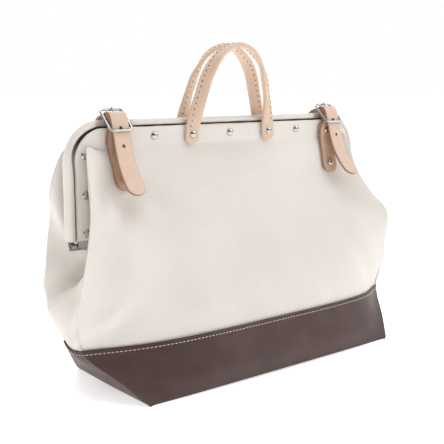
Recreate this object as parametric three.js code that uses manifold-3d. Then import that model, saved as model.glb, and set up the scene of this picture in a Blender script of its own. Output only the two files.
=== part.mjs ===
// A canvas tool bag with a hinged steel mouth, a vinyl base, two leather handles and two buckled straps.
// Millimetres. +Z is up, the front of the bag faces -Y, and the floor of the bag lies on Z = 0.
import * as THREE from "three";
import Module from "manifold-3d";

const wasm = await Module();
wasm.setup();

// Thickness of each stock
const CANVAS = 1.5;
const VINYL = 1.6;
const STEEL = 2.2;
const LEATHER = 2.6;
const TAB = 4;
const GAP = 0.3;

// Mouth: the front half nests just inside the slightly larger back half
const FRONT_RAIL = { half: 198, top: 267, corner: 34, foot: 154, face: 19, away: 1 };
const BACK_RAIL = { half: 208, top: 275, corner: 43, foot: 154, face: 32.4, away: -1 };
const HEM_WIDTH = 20;
const HEM_THICK = 2 * (CANVAS + GAP) + STEEL;
const CORNER_STEPS = 5;

// Hinge at the foot of each leg
const HINGE = {
  y: 25.7, z: 147, knuckle: 3.6, pin: 1.5, head: 2.6, frontFrom: 186, split: 197, backTo: 204.5,
};

// Rivets
const RIVET = { head: 4.2, rise: 1.7, shank: 1.5, sides: 6 };
const RIVET_INSET = 10;
const PANEL_RIVETS_X = [-103.5, 0, 103.5];
const LEG_RIVETS_Z = [240, 200, 161];
const HANDLE_RIVET_X = 55.3;

// Straps and buckles
const STRAP_HALF = 11.4;
const BAR = 1.5;
const BUCKLE = {
  half: 13.1, lowY: 8.5, lowZ: 264.5, midY: 21.75, midZ: 275.7, highY: 30.2, highZ: 285, corner: 4,
};
const PRONG = { radius: 1.1, eye: 3.5, half: 1.6, tipY: 28.4, tipZ: 287.7 };
const STRAPS = [
  { side: "left", x: -152.5, atBuckle: 2.5, atTip: 4, atBack: -5, lean: 6 },
  { side: "right", x: 151.5, atBuckle: 8, atTip: 17, atBack: -5, lean: 0 },
];

// Body outline, one row for each height, given for the left end and mirrored for the right one. The crease is
// the fold between a broad panel and the end; "end" is the middle of the end; "panel" is a point on the broad
// panel near its fold; "rightIn" is how far further in the right front fold lies.
const SECTIONS = [
  { z: 0, creaseZ: 0, endZ: 0, midY: -73, panelX: 120, panelY: -73, creaseX: 174, creaseY: -72, endX: 175, endY: 0,
    backCreaseX: 174, backCreaseY: 72, backPanelY: 73, backMidY: 73 },
  { z: 22, creaseZ: 20, endZ: 20, midY: -76, panelX: 128, panelY: -72, creaseX: 191, creaseY: -50, endX: 193,
    endY: 1, backCreaseX: 191, backCreaseY: 52, backPanelY: 74, backMidY: 78 },
  { z: 60, creaseZ: 50, endZ: 48, midY: -67, panelX: 150, panelY: -53, creaseX: 215, creaseY: -14, endX: 219,
    endY: 3, backCreaseX: 209, backCreaseY: 26, backPanelY: 61, backMidY: 75 },
  { z: 86, creaseZ: 82, endZ: 80, midY: -58, panelX: 153, panelY: -47, creaseX: 223, creaseY: -16, endX: 216,
    endY: 8, backCreaseX: 219, backCreaseY: 34, backPanelY: 64, backMidY: 74 },
  { z: 114, creaseZ: 114, endZ: 104, midY: -46, panelX: 156, panelY: -41, creaseX: 221, creaseY: -25, endX: 203,
    endY: 13, backCreaseX: 222, backCreaseY: 44, backPanelY: 69, backMidY: 75 },
  { z: 150, creaseZ: 150, endZ: 118, midY: -29, panelX: 158, panelY: -27, creaseX: 217, creaseY: -31, endX: 190,
    endY: 21, backCreaseX: 206, backCreaseY: 68, backPanelY: 74, backMidY: 76 },
  { z: 177, creaseZ: 176, rightIn: 1, endZ: 128, midY: -16, panelX: 162, panelY: -12, creaseX: 206, creaseY: -20,
    endX: 184, endY: 23, backCreaseX: 208, backCreaseY: 61, backPanelY: 63, backMidY: 68 },
  { z: 207, creaseZ: 203, rightIn: 5, endZ: 137, midY: -1, panelX: 165, panelY: 7.5, creaseX: 196, creaseY: -4,
    endX: 181.5, endY: 24, backCreaseX: 211, backCreaseY: 52, backPanelY: 45.5, backMidY: 54 },
  { z: 232, creaseZ: 239, rightIn: 9, endZ: 143, midY: 11.5, panelX: 165, panelY: 15, creaseX: 190, creaseY: 9.5,
    endX: 179.5, endY: 25, backCreaseX: 207, backCreaseY: 40, backPanelY: 37, backMidY: 42 },
];
const LAST = SECTIONS.length;
const VINYL_TOP = 2;
const LAP = 0.5;
const END_STEPS = 4;
const END_SAG = 1.7;
const PANEL_STEPS = 3;
const ROW_STEPS = 2;
// Columns of the skin that the back sheet runs between, and the number of columns all round
const BACK_SHEET = {
  from: 4 * END_STEPS + 5 * PANEL_STEPS, to: 4 * END_STEPS + 7 * PANEL_STEPS, round: 4 * END_STEPS + 8 * PANEL_STEPS,
};
const MOUTH_END = { x: 178.5, z: 147, fold: 45, slack: 1.4 };

// Soft dents of the broad panels: where the middle of each lies, how deep it goes, its reach along and across,
// and the turn of its long direction from level.
const DENTS = [
  { x: -150, z: 186, depth: 5, along: 34, across: 11, turn: 40 },
  { x: -118, z: 182, depth: 3, along: 26, across: 10, turn: -35 },
  { x: 160, z: 178, depth: 4, along: 34, across: 12, turn: -30 },
  { x: -172, z: 92, depth: 4, along: 45, across: 13, turn: 48 },
  { x: 168, z: 96, depth: 4, along: 45, across: 13, turn: -48 },
];

// Arch of a handle from tab to top: height, half spread, sideways lean, half width and half thickness
const HANDLE = [
  { z: 246.5, half: 55.3, lean: 0, wide: 4.5, thick: 2 },
  { z: 248.5, half: 55.3, lean: 0, wide: 7.6, thick: 2 },
  { z: 252, half: 55.3, lean: 0, wide: 9.2, thick: 2 },
  { z: 260, half: 55.2, lean: 0, wide: 9.2, thick: 2 },
  { z: 268, half: 54.2, lean: 0.5, wide: 8.8, thick: 2.2 },
  { z: 284, half: 51.4, lean: 2, wide: 8, thick: 2.7 },
  { z: 301, half: 47.2, lean: 3.6, wide: 7.5, thick: 2.9 },
  { z: 317, half: 42.5, lean: 5.2, wide: 7.3, thick: 2.9 },
  { z: 330, half: 36.2, lean: 6.6, wide: 7.2, thick: 2.9 },
  { z: 341, half: 27.8, lean: 7.1, wide: 7.2, thick: 2.9 },
  { z: 350, half: 15.6, lean: 8.2, wide: 7.2, thick: 2.9 },
];
const HANDLE_TOP = { z: 354.3, lean: 8.8, wide: 7.2, thick: 2.9 };
const HANDLE_TURN = { leg: 28, top: 84 };

// Middle lines of the straps in the Y-Z plane, from the free end on
const CHAPE_LINE = [
  { y: 4.2, z: 203 }, { y: 6, z: 208 }, { y: 8.2, z: 214.5 }, { y: 11.4, z: 230 }, { y: 14, z: 243 },
  { y: 14.5, z: 250 }, { y: 14.5, z: 259 }, { y: 14.7, z: 264.5 }, { y: 15.6, z: 268.2 }, { y: 17.3, z: 272.6 },
  { y: 19, z: 277.2 }, { y: 20.9, z: 278.8 }, { y: 23.3, z: 278.5 }, { y: 24.8, z: 276.5 }, { y: 24.4, z: 274 },
  { y: 20.3, z: 270.2 }, { y: 18.1, z: 266.6 }, { y: 17.4, z: 262.5 }, { y: 17.4, z: 256 }, { y: 17.4, z: 249.5 },
];
const BILLET_LINE = [
  { y: -19, z: 201 }, { y: -14.5, z: 206 }, { y: -9, z: 213 }, { y: -2.5, z: 223 }, { y: 3.4, z: 236 },
  { y: 7.4, z: 249 }, { y: 9.4, z: 258 }, { y: 11.6, z: 264.3 }, { y: 12.8, z: 269.6 }, { y: 15.7, z: 277.9 },
  { y: 19.3, z: 281.7 }, { y: 24.6, z: 281.8 }, { y: 28.8, z: 279.6 }, { y: 32.8, z: 279 }, { y: 36.4, z: 276.8 },
  { y: 37, z: 272.5 }, { y: 35.2, z: 268.6 }, { y: 34.1, z: 264.8 }, { y: 34.1, z: 255.2 }, { y: 36.2, z: 248.5 },
  { y: 39.8, z: 238 }, { y: 43.4, z: 222.5 }, { y: 45, z: 216 }, { y: 46.4, z: 211 },
];
const BILLET_HOLES_Z = [266.5, 248];
const CHAPE_RIVETS_Z = [254.5, 214.5];
const BILLET_RIVETS_Z = [260, 222.5];

// Colours of the materials
const COLOURS = { canvas: 0xe0d8ce, vinyl: 0x51423d, leather: 0xe0c3ae, steel: 0xb9b9bb, nickel: 0xcfcfd2 };

// Vector made from three numbers
const vec = (x, y, z) => new THREE.Vector3(x, y, z);

/** Mesh geometry of a list of points and triangles, turned outward when it came out inside out. */
function closedGeometry(points, triangles) {
  let volume = 0;
  for (const [a, b, c] of triangles) {
    volume += points[a].dot(points[b].clone().cross(points[c]));
  }
  const ordered = volume < 0 ? triangles.map(([a, b, c]) => [a, c, b]) : triangles;
  const geometry = new THREE.BufferGeometry();
  geometry.setAttribute("position", new THREE.Float32BufferAttribute(points.flatMap((p) => p.toArray()), 3));
  geometry.setIndex(ordered.flat());
  return geometry;
}

/** Triangles between two rings of equal length whose first points stand at the two given indices. */
function band(start, next, count) {
  const triangles = [];
  for (let i = 0; i < count; i += 1) {
    const j = (i + 1) % count;
    triangles.push([start + i, start + j, next + j], [start + i, next + j, next + i]);
  }
  return triangles;
}

/** Closed solid through a row of rings, each end closed by a fan. */
function tube(rings) {
  const count = rings[0].length;
  const points = rings.flat();
  const last = (rings.length - 1) * count;
  const triangles = [];
  for (let r = 0; r + 1 < rings.length; r += 1) {
    triangles.push(...band(r * count, (r + 1) * count, count));
  }
  for (let i = 1; i + 1 < count; i += 1) {
    triangles.push([0, i + 1, i], [last, last + i, last + i + 1]);
  }
  return closedGeometry(points, triangles);
}

/** Closed solid through rings that come back to the first one. */
function loopTube(rings) {
  const count = rings[0].length;
  const triangles = [];
  for (let r = 0; r < rings.length; r += 1) {
    triangles.push(...band(r * count, ((r + 1) % rings.length) * count, count));
  }
  return closedGeometry(rings.flat(), triangles);
}

/** Manifold solid of a closed geometry. */
function solid(geometry) {
  const position = geometry.getAttribute("position");
  const mesh = new wasm.Mesh({
    numProp: 3,
    vertProperties: new Float32Array(position.array),
    triVerts: new Uint32Array(geometry.getIndex().array),
  });
  return new wasm.Manifold(mesh);
}

/** Geometry of a manifold solid. */
function geometryOf(manifold) {
  const mesh = manifold.getMesh();
  const geometry = new THREE.BufferGeometry();
  geometry.setAttribute("position", new THREE.Float32BufferAttribute(mesh.vertProperties, 3));
  geometry.setIndex(new THREE.Uint32BufferAttribute(mesh.triVerts, 1));
  return geometry;
}

/** The first solid less all the others. */
function cut(first, tools) {
  return tools.reduce((rest, tool) => rest.subtract(tool), first);
}

/** Round rod from one point to another. */
function rod(from, to, radius, sides) {
  const along = to.clone().sub(from).normalize();
  const side = Math.abs(along.x) > 0.9 ? vec(0, 1, 0) : vec(1, 0, 0);
  const across = along.clone().cross(side).normalize();
  const up = across.clone().cross(along);
  const ring = (centre) => Array.from({ length: sides }, (_, i) => {
    const angle = (2 * Math.PI * (i + 0.5)) / sides;
    return centre.clone().addScaledVector(across, radius * Math.cos(angle))
      .addScaledVector(up, radius * Math.sin(angle));
  });
  return tube([ring(from), ring(to)]);
}

/** Smooth points through the given ones, with the same number of steps between each two. */
function smooth(points, steps) {
  const curve = new THREE.CatmullRomCurve3(points, false, "centripetal");
  const total = (points.length - 1) * steps;
  return Array.from({ length: total + 1 }, (_, i) => curve.getPoint(i / total));
}

// Body of the bag

/** Ring of a body section, from the left back fold round the front to the back again. */
function sectionRing(s) {
  const end = (sign) => vec(sign * s.endX, s.endY, s.endZ);
  const rightIn = s.rightIn ?? 0;
  const crease = (sign) => vec(sign > 0 ? s.creaseX - rightIn : -s.creaseX, s.creaseY, s.creaseZ);
  const backCrease = (sign) => vec(sign * s.backCreaseX, s.backCreaseY, s.creaseZ);
  const panel = (sign, y) => vec(sign * s.panelX, y, s.z + 0.3 * (s.creaseZ - s.z));
  const gusset = (points) => smooth(points, END_STEPS).map((p, i) => {
    const part = Math.abs(i / END_STEPS - 1);
    return p.setZ(s.endZ + (s.creaseZ - s.endZ) * part ** END_SAG);
  });
  const pieces = [
    gusset([backCrease(-1), end(-1), crease(-1)]),
    smooth([crease(-1), panel(-1, s.panelY), vec(0, s.midY, s.z), panel(1, s.panelY), crease(1)], PANEL_STEPS),
    gusset([crease(1), end(1), backCrease(1)]),
    smooth([backCrease(1), panel(1, s.backPanelY), vec(0, s.backMidY, s.z), panel(-1, s.backPanelY),
      backCrease(-1)], PANEL_STEPS),
  ];
  return pieces.flatMap((piece) => piece.slice(0, -1));
}

/** Points of one half of the mouth edge from the left end to the middle, along the inner edge of a hem. */
function mouthEdge(rail) {
  const half = rail.half - HEM_WIDTH - GAP;
  const top = rail.top - HEM_WIDTH - GAP;
  const corner = rail.corner - HEM_WIDTH;
  const foot = rail.foot - 4;
  const fold = THREE.MathUtils.degToRad(MOUTH_END.fold);
  const creaseZ = top - corner + corner * Math.sin(fold);
  const points = [];
  for (let i = 0; i + 1 < END_STEPS; i += 1) {
    points.push(vec(-half + MOUTH_END.slack, rail.face, foot + ((creaseZ - foot) * i) / (END_STEPS - 1)));
  }
  for (let i = 0; i <= PANEL_STEPS; i += 1) {
    const angle = fold + (Math.PI / 2 - fold) * (i / PANEL_STEPS);
    const x = -half + corner - corner * Math.cos(angle);
    points.push(vec(x, rail.face, top - corner + corner * Math.sin(angle)));
  }
  for (let i = 1; i <= PANEL_STEPS; i += 1) {
    points.push(vec((-half + corner) * (1 - i / PANEL_STEPS), rail.face, top));
  }
  return points;
}

/** Ring of the mouth, with its points in the order of a section ring. */
function mouthRing() {
  const front = mouthEdge(FRONT_RAIL);
  const back = mouthEdge(BACK_RAIL);
  const mirrored = (points) => points.map((p) => vec(-p.x, p.y, p.z));
  const end = (sign) => vec(sign * MOUTH_END.x, HINGE.y, MOUTH_END.z);
  const backLeg = back.slice(0, END_STEPS);
  const rest = back.slice(END_STEPS, -1);
  return [
    ...backLeg.slice().reverse(), end(-1),
    ...front, ...mirrored(front.slice(0, -1)).reverse(),
    end(1), ...mirrored(backLeg), ...mirrored(rest), back.at(-1), ...rest.slice().reverse(),
  ];
}

/** How far a point of a broad panel is pressed in by the dents. */
function dentDepth(point) {
  let depth = 0;
  for (const dent of DENTS) {
    const turn = THREE.MathUtils.degToRad(dent.turn);
    const dx = point.x - dent.x;
    const dz = point.z - dent.z;
    const along = (dx * Math.cos(turn) + dz * Math.sin(turn)) / dent.along;
    const across = (dz * Math.cos(turn) - dx * Math.sin(turn)) / dent.across;
    depth += dent.depth * Math.exp(-along * along - across * across);
  }
  return depth;
}

/** Point moved out of the way of the legs of the hems and of the rivet heads on them. */
function clearOfLegs(point) {
  const rail = point.y < HINGE.y ? FRONT_RAIL : BACK_RAIL;
  const inner = rail.half - HEM_WIDTH - GAP - MOUTH_END.slack;
  if (Math.abs(point.x) < inner - 4 || point.z > rail.top - HEM_WIDTH) {
    return point;
  }
  const clear = 0.6 + 2.4 * THREE.MathUtils.smoothstep(Math.abs(point.x) - inner, 0, 6);
  const below = Math.max(0, rail.foot - 7 - point.z) * 2;
  const limit = rail.face - rail.away * (clear - below);
  return point.setY(rail.away > 0 ? Math.min(point.y, limit) : Math.max(point.y, limit));
}

/** Rings of the outer skin between two levels of the section table, and the outward direction at each point. */
function skin(from, to, steps) {
  const rings = [...SECTIONS.map(sectionRing), mouthRing()];
  const column = (i) => new THREE.CatmullRomCurve3(rings.map((r) => r[i]), false, "centripetal");
  const columns = rings[0].map((_, i) => column(i));
  const count = columns.length;
  const at = (i, level) => columns[(i + count) % count].getPoint(Math.min(Math.max(level, 0), LAST) / LAST);
  const levels = Array.from({ length: steps + 1 }, (_, k) => from + ((to - from) * k) / steps);
  return levels.map((level) => columns.map((_, i) => {
    const along = at(i + 1, level).sub(at(i - 1, level));
    const up = at(i, level + 0.08).sub(at(i, level - 0.08));
    const out = along.cross(up).normalize();
    const point = at(i, level);
    const fade = THREE.MathUtils.smoothstep(LAST - level, 0, 0.6);
    const press = point.y < HINGE.y && out.y < 0 ? fade * dentDepth(point) : 0;
    return { point: clearOfLegs(point.addScaledVector(out, -press)), out };
  }));
}

/** Rings of a skin moved inward by a depth worked out for each level. */
function inset(rings, depth) {
  return rings.map((ring, r) => ring.map(({ point, out }) => point.clone().addScaledVector(out, -depth(r))));
}

/** Ring from one column to another, with both ends drawn back by half a gap. */
function partRing(ring, from, to) {
  const part = Array.from({ length: to - from + 1 }, (_, i) => ring[(from + i) % ring.length].clone());
  const drawBack = (end, next) => end.addScaledVector(next.clone().sub(end).normalize(), GAP / 2);
  drawBack(part[0], part[1]);
  drawBack(part.at(-1), part.at(-2));
  return part;
}

/** Closed sheet between an outer and an inner stack of open rows. */
function sheet(outer, inner) {
  const count = outer[0].length;
  const size = 2 * count;
  const rings = outer.map((row, r) => [...row, ...inner[r].slice().reverse()]);
  const top = (rings.length - 1) * size;
  const triangles = [];
  for (let r = 0; r + 1 < rings.length; r += 1) {
    triangles.push(...band(r * size, (r + 1) * size, size));
  }
  for (let i = 0; i + 1 < count; i += 1) {
    const j = size - 1 - i;
    triangles.push([i, j, j - 1], [i, j - 1, i + 1]);
    triangles.push([top + i, top + i + 1, top + j - 1], [top + i, top + j - 1, top + j]);
  }
  return closedGeometry(rings.flat(), triangles);
}

/** Canvas between two columns of the skin, open at the mouth and below, tucked into the vinyl at its lower edge. */
function canvasPart(fromColumn, toColumn) {
  const from = VINYL_TOP - LAP;
  const lap = skin(from, VINYL_TOP, 1).slice(0, 1);
  const rings = [...lap, ...skin(VINYL_TOP, LAST, (LAST - VINYL_TOP) * ROW_STEPS)];
  const tuck = (r) => (VINYL + GAP) * (1 - THREE.MathUtils.smoothstep(r, 1.5, 4));
  const part = (depth) => inset(rings, depth).map((ring) => partRing(ring, fromColumn, toColumn));
  return sheet(part(tuck), part((r) => tuck(r) + CANVAS));
}

/** Closed wall with a flat floor between an outer and an inner stack of rings. */
function wall(outer, inner) {
  const count = outer[0].length;
  const rows = outer.length;
  const triangles = [];
  for (let r = 0; r + 1 < rows; r += 1) {
    triangles.push(...band(r * count, (r + 1) * count, count));
    triangles.push(...band((rows + r) * count, (rows + r + 1) * count, count).map(([a, b, c]) => [a, c, b]));
  }
  triangles.push(...band((rows - 1) * count, (2 * rows - 1) * count, count));
  const points = [...outer.flat(), ...inner.flat(), vec(0, 0, outer[0][0].z), vec(0, 0, inner[0][0].z)];
  for (let i = 0; i < count; i += 1) {
    const j = (i + 1) % count;
    triangles.push([points.length - 2, j, i], [points.length - 1, rows * count + i, rows * count + j]);
  }
  return closedGeometry(points, triangles);
}

/** Vinyl boot with a flat floor. */
function vinylBase() {
  const rings = skin(0, VINYL_TOP, VINYL_TOP * ROW_STEPS);
  const outer = inset(rings, () => 0);
  outer[0].forEach((p) => p.setZ(0));
  const inner = inset(rings, () => VINYL);
  inner[0].forEach((p) => p.setZ(VINYL));
  return wall(outer, inner);
}

// Mouth frame

/** Places along a rail from one leg foot to the other, each with the direction away from the mouth. */
function railPlaces(rail, foot) {
  const places = [{ x: -rail.half, z: foot, dx: -1, dz: 0 }];
  for (const sign of [-1, 1]) {
    for (let i = 0; i <= CORNER_STEPS; i += 1) {
      const step = sign < 0 ? i : CORNER_STEPS - i;
      const angle = (Math.PI / 2) * (step / CORNER_STEPS);
      const dx = sign * Math.cos(angle);
      const dz = Math.sin(angle);
      places.push({ x: sign * (rail.half - rail.corner) + rail.corner * dx,
        z: rail.top - rail.corner + rail.corner * dz, dx, dz });
    }
  }
  places.push({ x: rail.half, z: foot, dx: 1, dz: 0 });
  return places;
}

/** Solid swept along a rail; the profile lists depth in from the outer edge and depth behind the outer face. */
function alongRail(rail, foot, profile) {
  const rings = railPlaces(rail, foot).map((place) => profile.map(([inward, behind]) => vec(
    place.x - inward * place.dx, rail.face + rail.away * behind, place.z - inward * place.dz)));
  return solid(tube(rings));
}

/** Canvas sleeve folded round a bar: round at the fold, open at both feet. */
function hem(rail, holes) {
  const round = HEM_THICK / 2;
  const profile = [[HEM_WIDTH, 0]];
  for (let i = 0; i <= 4; i += 1) {
    const angle = (Math.PI * i) / 4;
    profile.push([round - round * Math.sin(angle), round - round * Math.cos(angle)]);
  }
  profile.push([HEM_WIDTH, HEM_THICK]);
  const hollow = [[HEM_WIDTH - CANVAS, CANVAS], [CANVAS, CANVAS], [CANVAS, HEM_THICK - CANVAS],
    [HEM_WIDTH - CANVAS, HEM_THICK - CANVAS]];
  return cut(alongRail(rail, rail.foot, profile), [alongRail(rail, rail.foot - 1, hollow), ...holes]);
}

/** Box between two corners. */
function box(low, high) {
  const middle = high.clone().add(low).multiplyScalar(0.5);
  return wasm.Manifold.cube([high.x - low.x, high.y - low.y, high.z - low.z], true)
    .translate([middle.x, middle.y, middle.z]);
}

/** Steel bar of one half of the mouth, with its knuckles round the hinge pins. */
function railBar(rail, knuckleFrom, knuckleTo, holes) {
  const near = CANVAS + GAP;
  const deep = HEM_WIDTH - near;
  const profile = [[deep, near], [near, near], [near, near + STEEL], [deep, near + STEEL]];
  let bar = alongRail(rail, rail.foot - 1, profile);
  const faceY = rail.face + rail.away * near;
  const farY = faceY + rail.away * STEEL;
  const bores = [];
  for (const sign of [-1, 1]) {
    const low = Math.min(sign * knuckleFrom, sign * knuckleTo);
    const high = Math.max(sign * knuckleFrom, sign * knuckleTo);
    const lug = box(vec(low, Math.min(faceY, farY), HINGE.z), vec(high, Math.max(faceY, farY), rail.foot));
    bar = bar.add(lug);
    bar = bar.add(solid(rod(vec(low, HINGE.y, HINGE.z), vec(high, HINGE.y, HINGE.z), HINGE.knuckle, 10)));
    const boreEnds = [vec(low - 1, HINGE.y, HINGE.z), vec(high + 1, HINGE.y, HINGE.z)];
    bores.push(solid(rod(...boreEnds, HINGE.pin + GAP, 8)));
  }
  return cut(bar, [...bores, ...holes]);
}

/** Hinge pin with a head at each end. */
function hingePin(sign) {
  const inner = HINGE.frontFrom - GAP;
  const outer = HINGE.backTo + GAP;
  const at = (x) => vec(sign * x, HINGE.y, HINGE.z);
  return solid(rod(at(inner - 1), at(outer + 1.2), HINGE.pin, 10))
    .add(solid(rod(at(inner - 1.4), at(inner), HINGE.head, 10)))
    .add(solid(rod(at(outer), at(outer + 1.6), HINGE.head, 10)));
}

// Rivets

/** Every rivet: its place, the side it is driven from, the face its head lies on and where its shank ends. */
function rivetList() {
  const rivets = [];
  const near = CANVAS + GAP + STEEL + GAP / 2;
  for (const rail of [FRONT_RAIL, BACK_RAIL]) {
    const side = rail === FRONT_RAIL ? "front" : "back";
    const rise = rail.top - FRONT_RAIL.top;
    const end = rail.face + rail.away * near;
    const line = rail.top - RIVET_INSET;
    const add = (name, x, z, lift) => rivets.push(
      { name: `rivet_${side}_${name}`, x, z, seat: rail.face - rail.away * (lift + GAP), end, away: rail.away });
    PANEL_RIVETS_X.forEach((x, i) => add(`panel_${i + 1}`, x, line, 0));
    for (const [label, sign] of [["left", -1], ["right", 1]]) {
      add(`handle_${label}`, sign * HANDLE_RIVET_X, line, GAP + TAB);
      LEG_RIVETS_Z.forEach((z, i) => add(`leg_${label}_${i + 1}`, sign * (rail.half - RIVET_INSET),
        i === 0 ? z + rise / 2 : z, 0));
    }
  }
  for (const strap of STRAPS) {
    rivets.push(
      { name: `rivet_chape_${strap.side}_1`, x: strap.x, z: CHAPE_RIVETS_Z[0], away: 1,
        seat: FRONT_RAIL.face - 2 * LEATHER - 3 * GAP, end: FRONT_RAIL.face + near },
      { name: `rivet_chape_${strap.side}_2`, x: strap.x + chapeLean(strap, 2 / (CHAPE_LINE.length - 1)),
        z: CHAPE_RIVETS_Z[1], away: 1, seat: 5.3, end: 17 },
      { name: `rivet_billet_${strap.side}_1`, x: strap.x + strap.atBack, z: BILLET_RIVETS_Z[0], away: -1,
        seat: BACK_RAIL.face + LEATHER + 2 * GAP, end: BACK_RAIL.face - near },
      { name: `rivet_billet_${strap.side}_2`, x: strap.x + strap.atBack, z: BILLET_RIVETS_Z[1], away: -1,
        seat: 46, end: 34 },
    );
  }
  return rivets;
}

/** Domed rivet with a plain shank. */
function rivet({ x, z, seat, end, away }) {
  const ring = (radius, y) => Array.from({ length: RIVET.sides }, (_, i) => {
    const angle = (2 * Math.PI * (i + 0.5)) / RIVET.sides;
    return vec(x + radius * Math.cos(angle), y, z + radius * Math.sin(angle));
  });
  return tube([
    ring(RIVET.head * 0.6, seat - away * RIVET.rise), ring(RIVET.head, seat - away * RIVET.rise * 0.3),
    ring(RIVET.head, seat), ring(RIVET.shank, seat), ring(RIVET.shank, end),
  ]);
}

/** Hole that lets a rivet's shank through. */
function rivetHole({ x, z, seat, end, away }) {
  const from = vec(x, seat - away * 2, z);
  const to = vec(x, end + away * GAP / 4, z);
  return solid(rod(from, to, RIVET.shank + GAP, RIVET.sides));
}

// Handles

/** Leather arch in front of a rail: flat tabs, swelling to a rolled grip. */
function handle(rail, holes) {
  const rise = rail.top - FRONT_RAIL.top;
  const tabY = rail.face - rail.away * (GAP + TAB / 2);
  const grip = (z) => THREE.MathUtils.smoothstep(z, 262, 300);
  const lift = (z) => z + rise * (1 - THREE.MathUtils.smoothstep(z, 246, 335));
  const standOff = (z) => tabY - rail.away * 2.5 * grip(z);
  const twist = (z) => HANDLE_TURN.leg * grip(z)
    + (HANDLE_TURN.top - HANDLE_TURN.leg) * THREE.MathUtils.smoothstep(z, 312, 352);
  const leg = (row, sign) => ({ ...row, x: sign * row.half + row.lean, y: standOff(row.z), z: lift(row.z),
    turn: twist(row.z) });
  const rows = [
    ...HANDLE.map((row) => leg(row, -1)),
    { ...HANDLE_TOP, x: HANDLE_TOP.lean, y: standOff(HANDLE_TOP.z), turn: twist(HANDLE_TOP.z) },
    ...HANDLE.slice().reverse().map((row) => leg(row, 1)),
  ];
  const rings = rows.map((row, i) => {
    const before = rows[Math.max(i - 1, 0)];
    const after = rows[Math.min(i + 1, rows.length - 1)];
    const along = vec(after.x - before.x, 0, after.z - before.z).normalize();
    const turn = THREE.MathUtils.degToRad(row.turn);
    const outward = vec(-along.z, 0, along.x);
    const face = vec(0, -rail.away * Math.cos(turn), 0).addScaledVector(outward, Math.sin(turn));
    const across = along.clone().cross(face);
    return Array.from({ length: 8 }, (_, k) => {
      const angle = (2 * Math.PI * (k + 0.5)) / 8;
      const w = Math.sign(Math.cos(angle)) * Math.abs(Math.cos(angle)) ** 0.6 * row.wide;
      const t = Math.sign(Math.sin(angle)) * Math.abs(Math.sin(angle)) ** 0.6 * row.thick;
      return vec(row.x, row.y, row.z).addScaledVector(across, w).addScaledVector(face, t);
    });
  });
  return cut(solid(tube(rings)), holes);
}

// Straps and buckles

/** Leather ribbon along a middle line in the Y-Z plane, with a width and a sideways shift for each point. */
function ribbon(line, x, halfWidth, shift) {
  const points = smooth(line.map((p) => vec(0, p.y, p.z)), 2);
  const rings = points.map((p, i) => {
    const before = points[Math.max(i - 1, 0)];
    const after = points[Math.min(i + 1, points.length - 1)];
    const along = after.clone().sub(before).normalize();
    const out = vec(0, -along.z, along.y).multiplyScalar(LEATHER / 2);
    const t = i / (points.length - 1);
    const centre = p.clone().setX(x + shift(t));
    const half = vec(halfWidth(t), 0, 0);
    return [centre.clone().sub(half).sub(out), centre.clone().add(half).sub(out),
      centre.clone().add(half).add(out), centre.clone().sub(half).add(out)];
  });
  return solid(tube(rings));
}

/** Sideways shift of a billet along its length, from its tip through the buckle to where it is riveted. */
function billetShift(strap) {
  const buckleAt = 6.5 / (BILLET_LINE.length - 1);
  const leavesAt = 13 / (BILLET_LINE.length - 1);
  return (t) => (t < buckleAt
    ? strap.atBuckle + (strap.atTip - strap.atBuckle) * (1 - t / buckleAt) ** 1.5
    : strap.atBuckle + (strap.atBack - strap.atBuckle) * THREE.MathUtils.smoothstep(t, leavesAt, 0.7));
}

/** Sideways lean of a buckle strap near its lower end, as a function of the part of its length. */
function chapeLean(strap, t) {
  return strap.lean * (1 - THREE.MathUtils.smoothstep(t, 0, 0.27));
}

/** Buckle strap: round lower end, single below, folded round the middle bar, with a slot for the prong. */
function chape(strap, holes) {
  const shift = (t) => chapeLean(strap, t) + strap.atBuckle * THREE.MathUtils.smoothstep(t, 0.26, 0.44)
    * (1 - THREE.MathUtils.smoothstep(t, 0.8, 0.95));
  const round = (t) => Math.min(1, 0.4 + Math.sqrt(Math.min(1, t / 0.07)) * 0.6);
  const width = (t) => round(t) * (STRAP_HALF - THREE.MathUtils.smoothstep(t, 0.25, 0.4));
  const x = strap.x + strap.atBuckle;
  const slot = solid(rod(vec(x - PRONG.half - GAP, BUCKLE.midY, BUCKLE.midZ),
    vec(x + PRONG.half + GAP, BUCKLE.midY, BUCKLE.midZ), PRONG.eye + 2.6, 10));
  return cut(ribbon(CHAPE_LINE, strap.x, width, shift), [slot, ...holes]);
}

/** Punched strap from the back of the bag, over the mouth, through the buckle and down the front. */
function billet(strap, holes) {
  const width = (t) => (STRAP_HALF - 0.9) * Math.min(1, 0.45 + Math.sqrt(Math.min(1, t / 0.07)) * 0.55);
  const line = smooth(BILLET_LINE.map((p) => vec(0, p.y, p.z)), 6);
  const shift = billetShift(strap);
  const punches = BILLET_HOLES_Z.map((z) => {
    const i = line.findIndex((p) => p.z > z);
    const along = line[i + 1].clone().sub(line[i - 1]).normalize();
    const out = vec(0, -along.z, along.y).multiplyScalar(4);
    const centre = line[i].clone().setX(strap.x + shift(i / (line.length - 1)));
    return solid(rod(centre.clone().sub(out), centre.clone().add(out), 2, 6));
  });
  const prongRoom = prongShank(strap, PRONG.radius + 0.5);
  return cut(ribbon(BILLET_LINE, strap.x, width, shift), [...punches, prongRoom, ...holes]);
}

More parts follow.
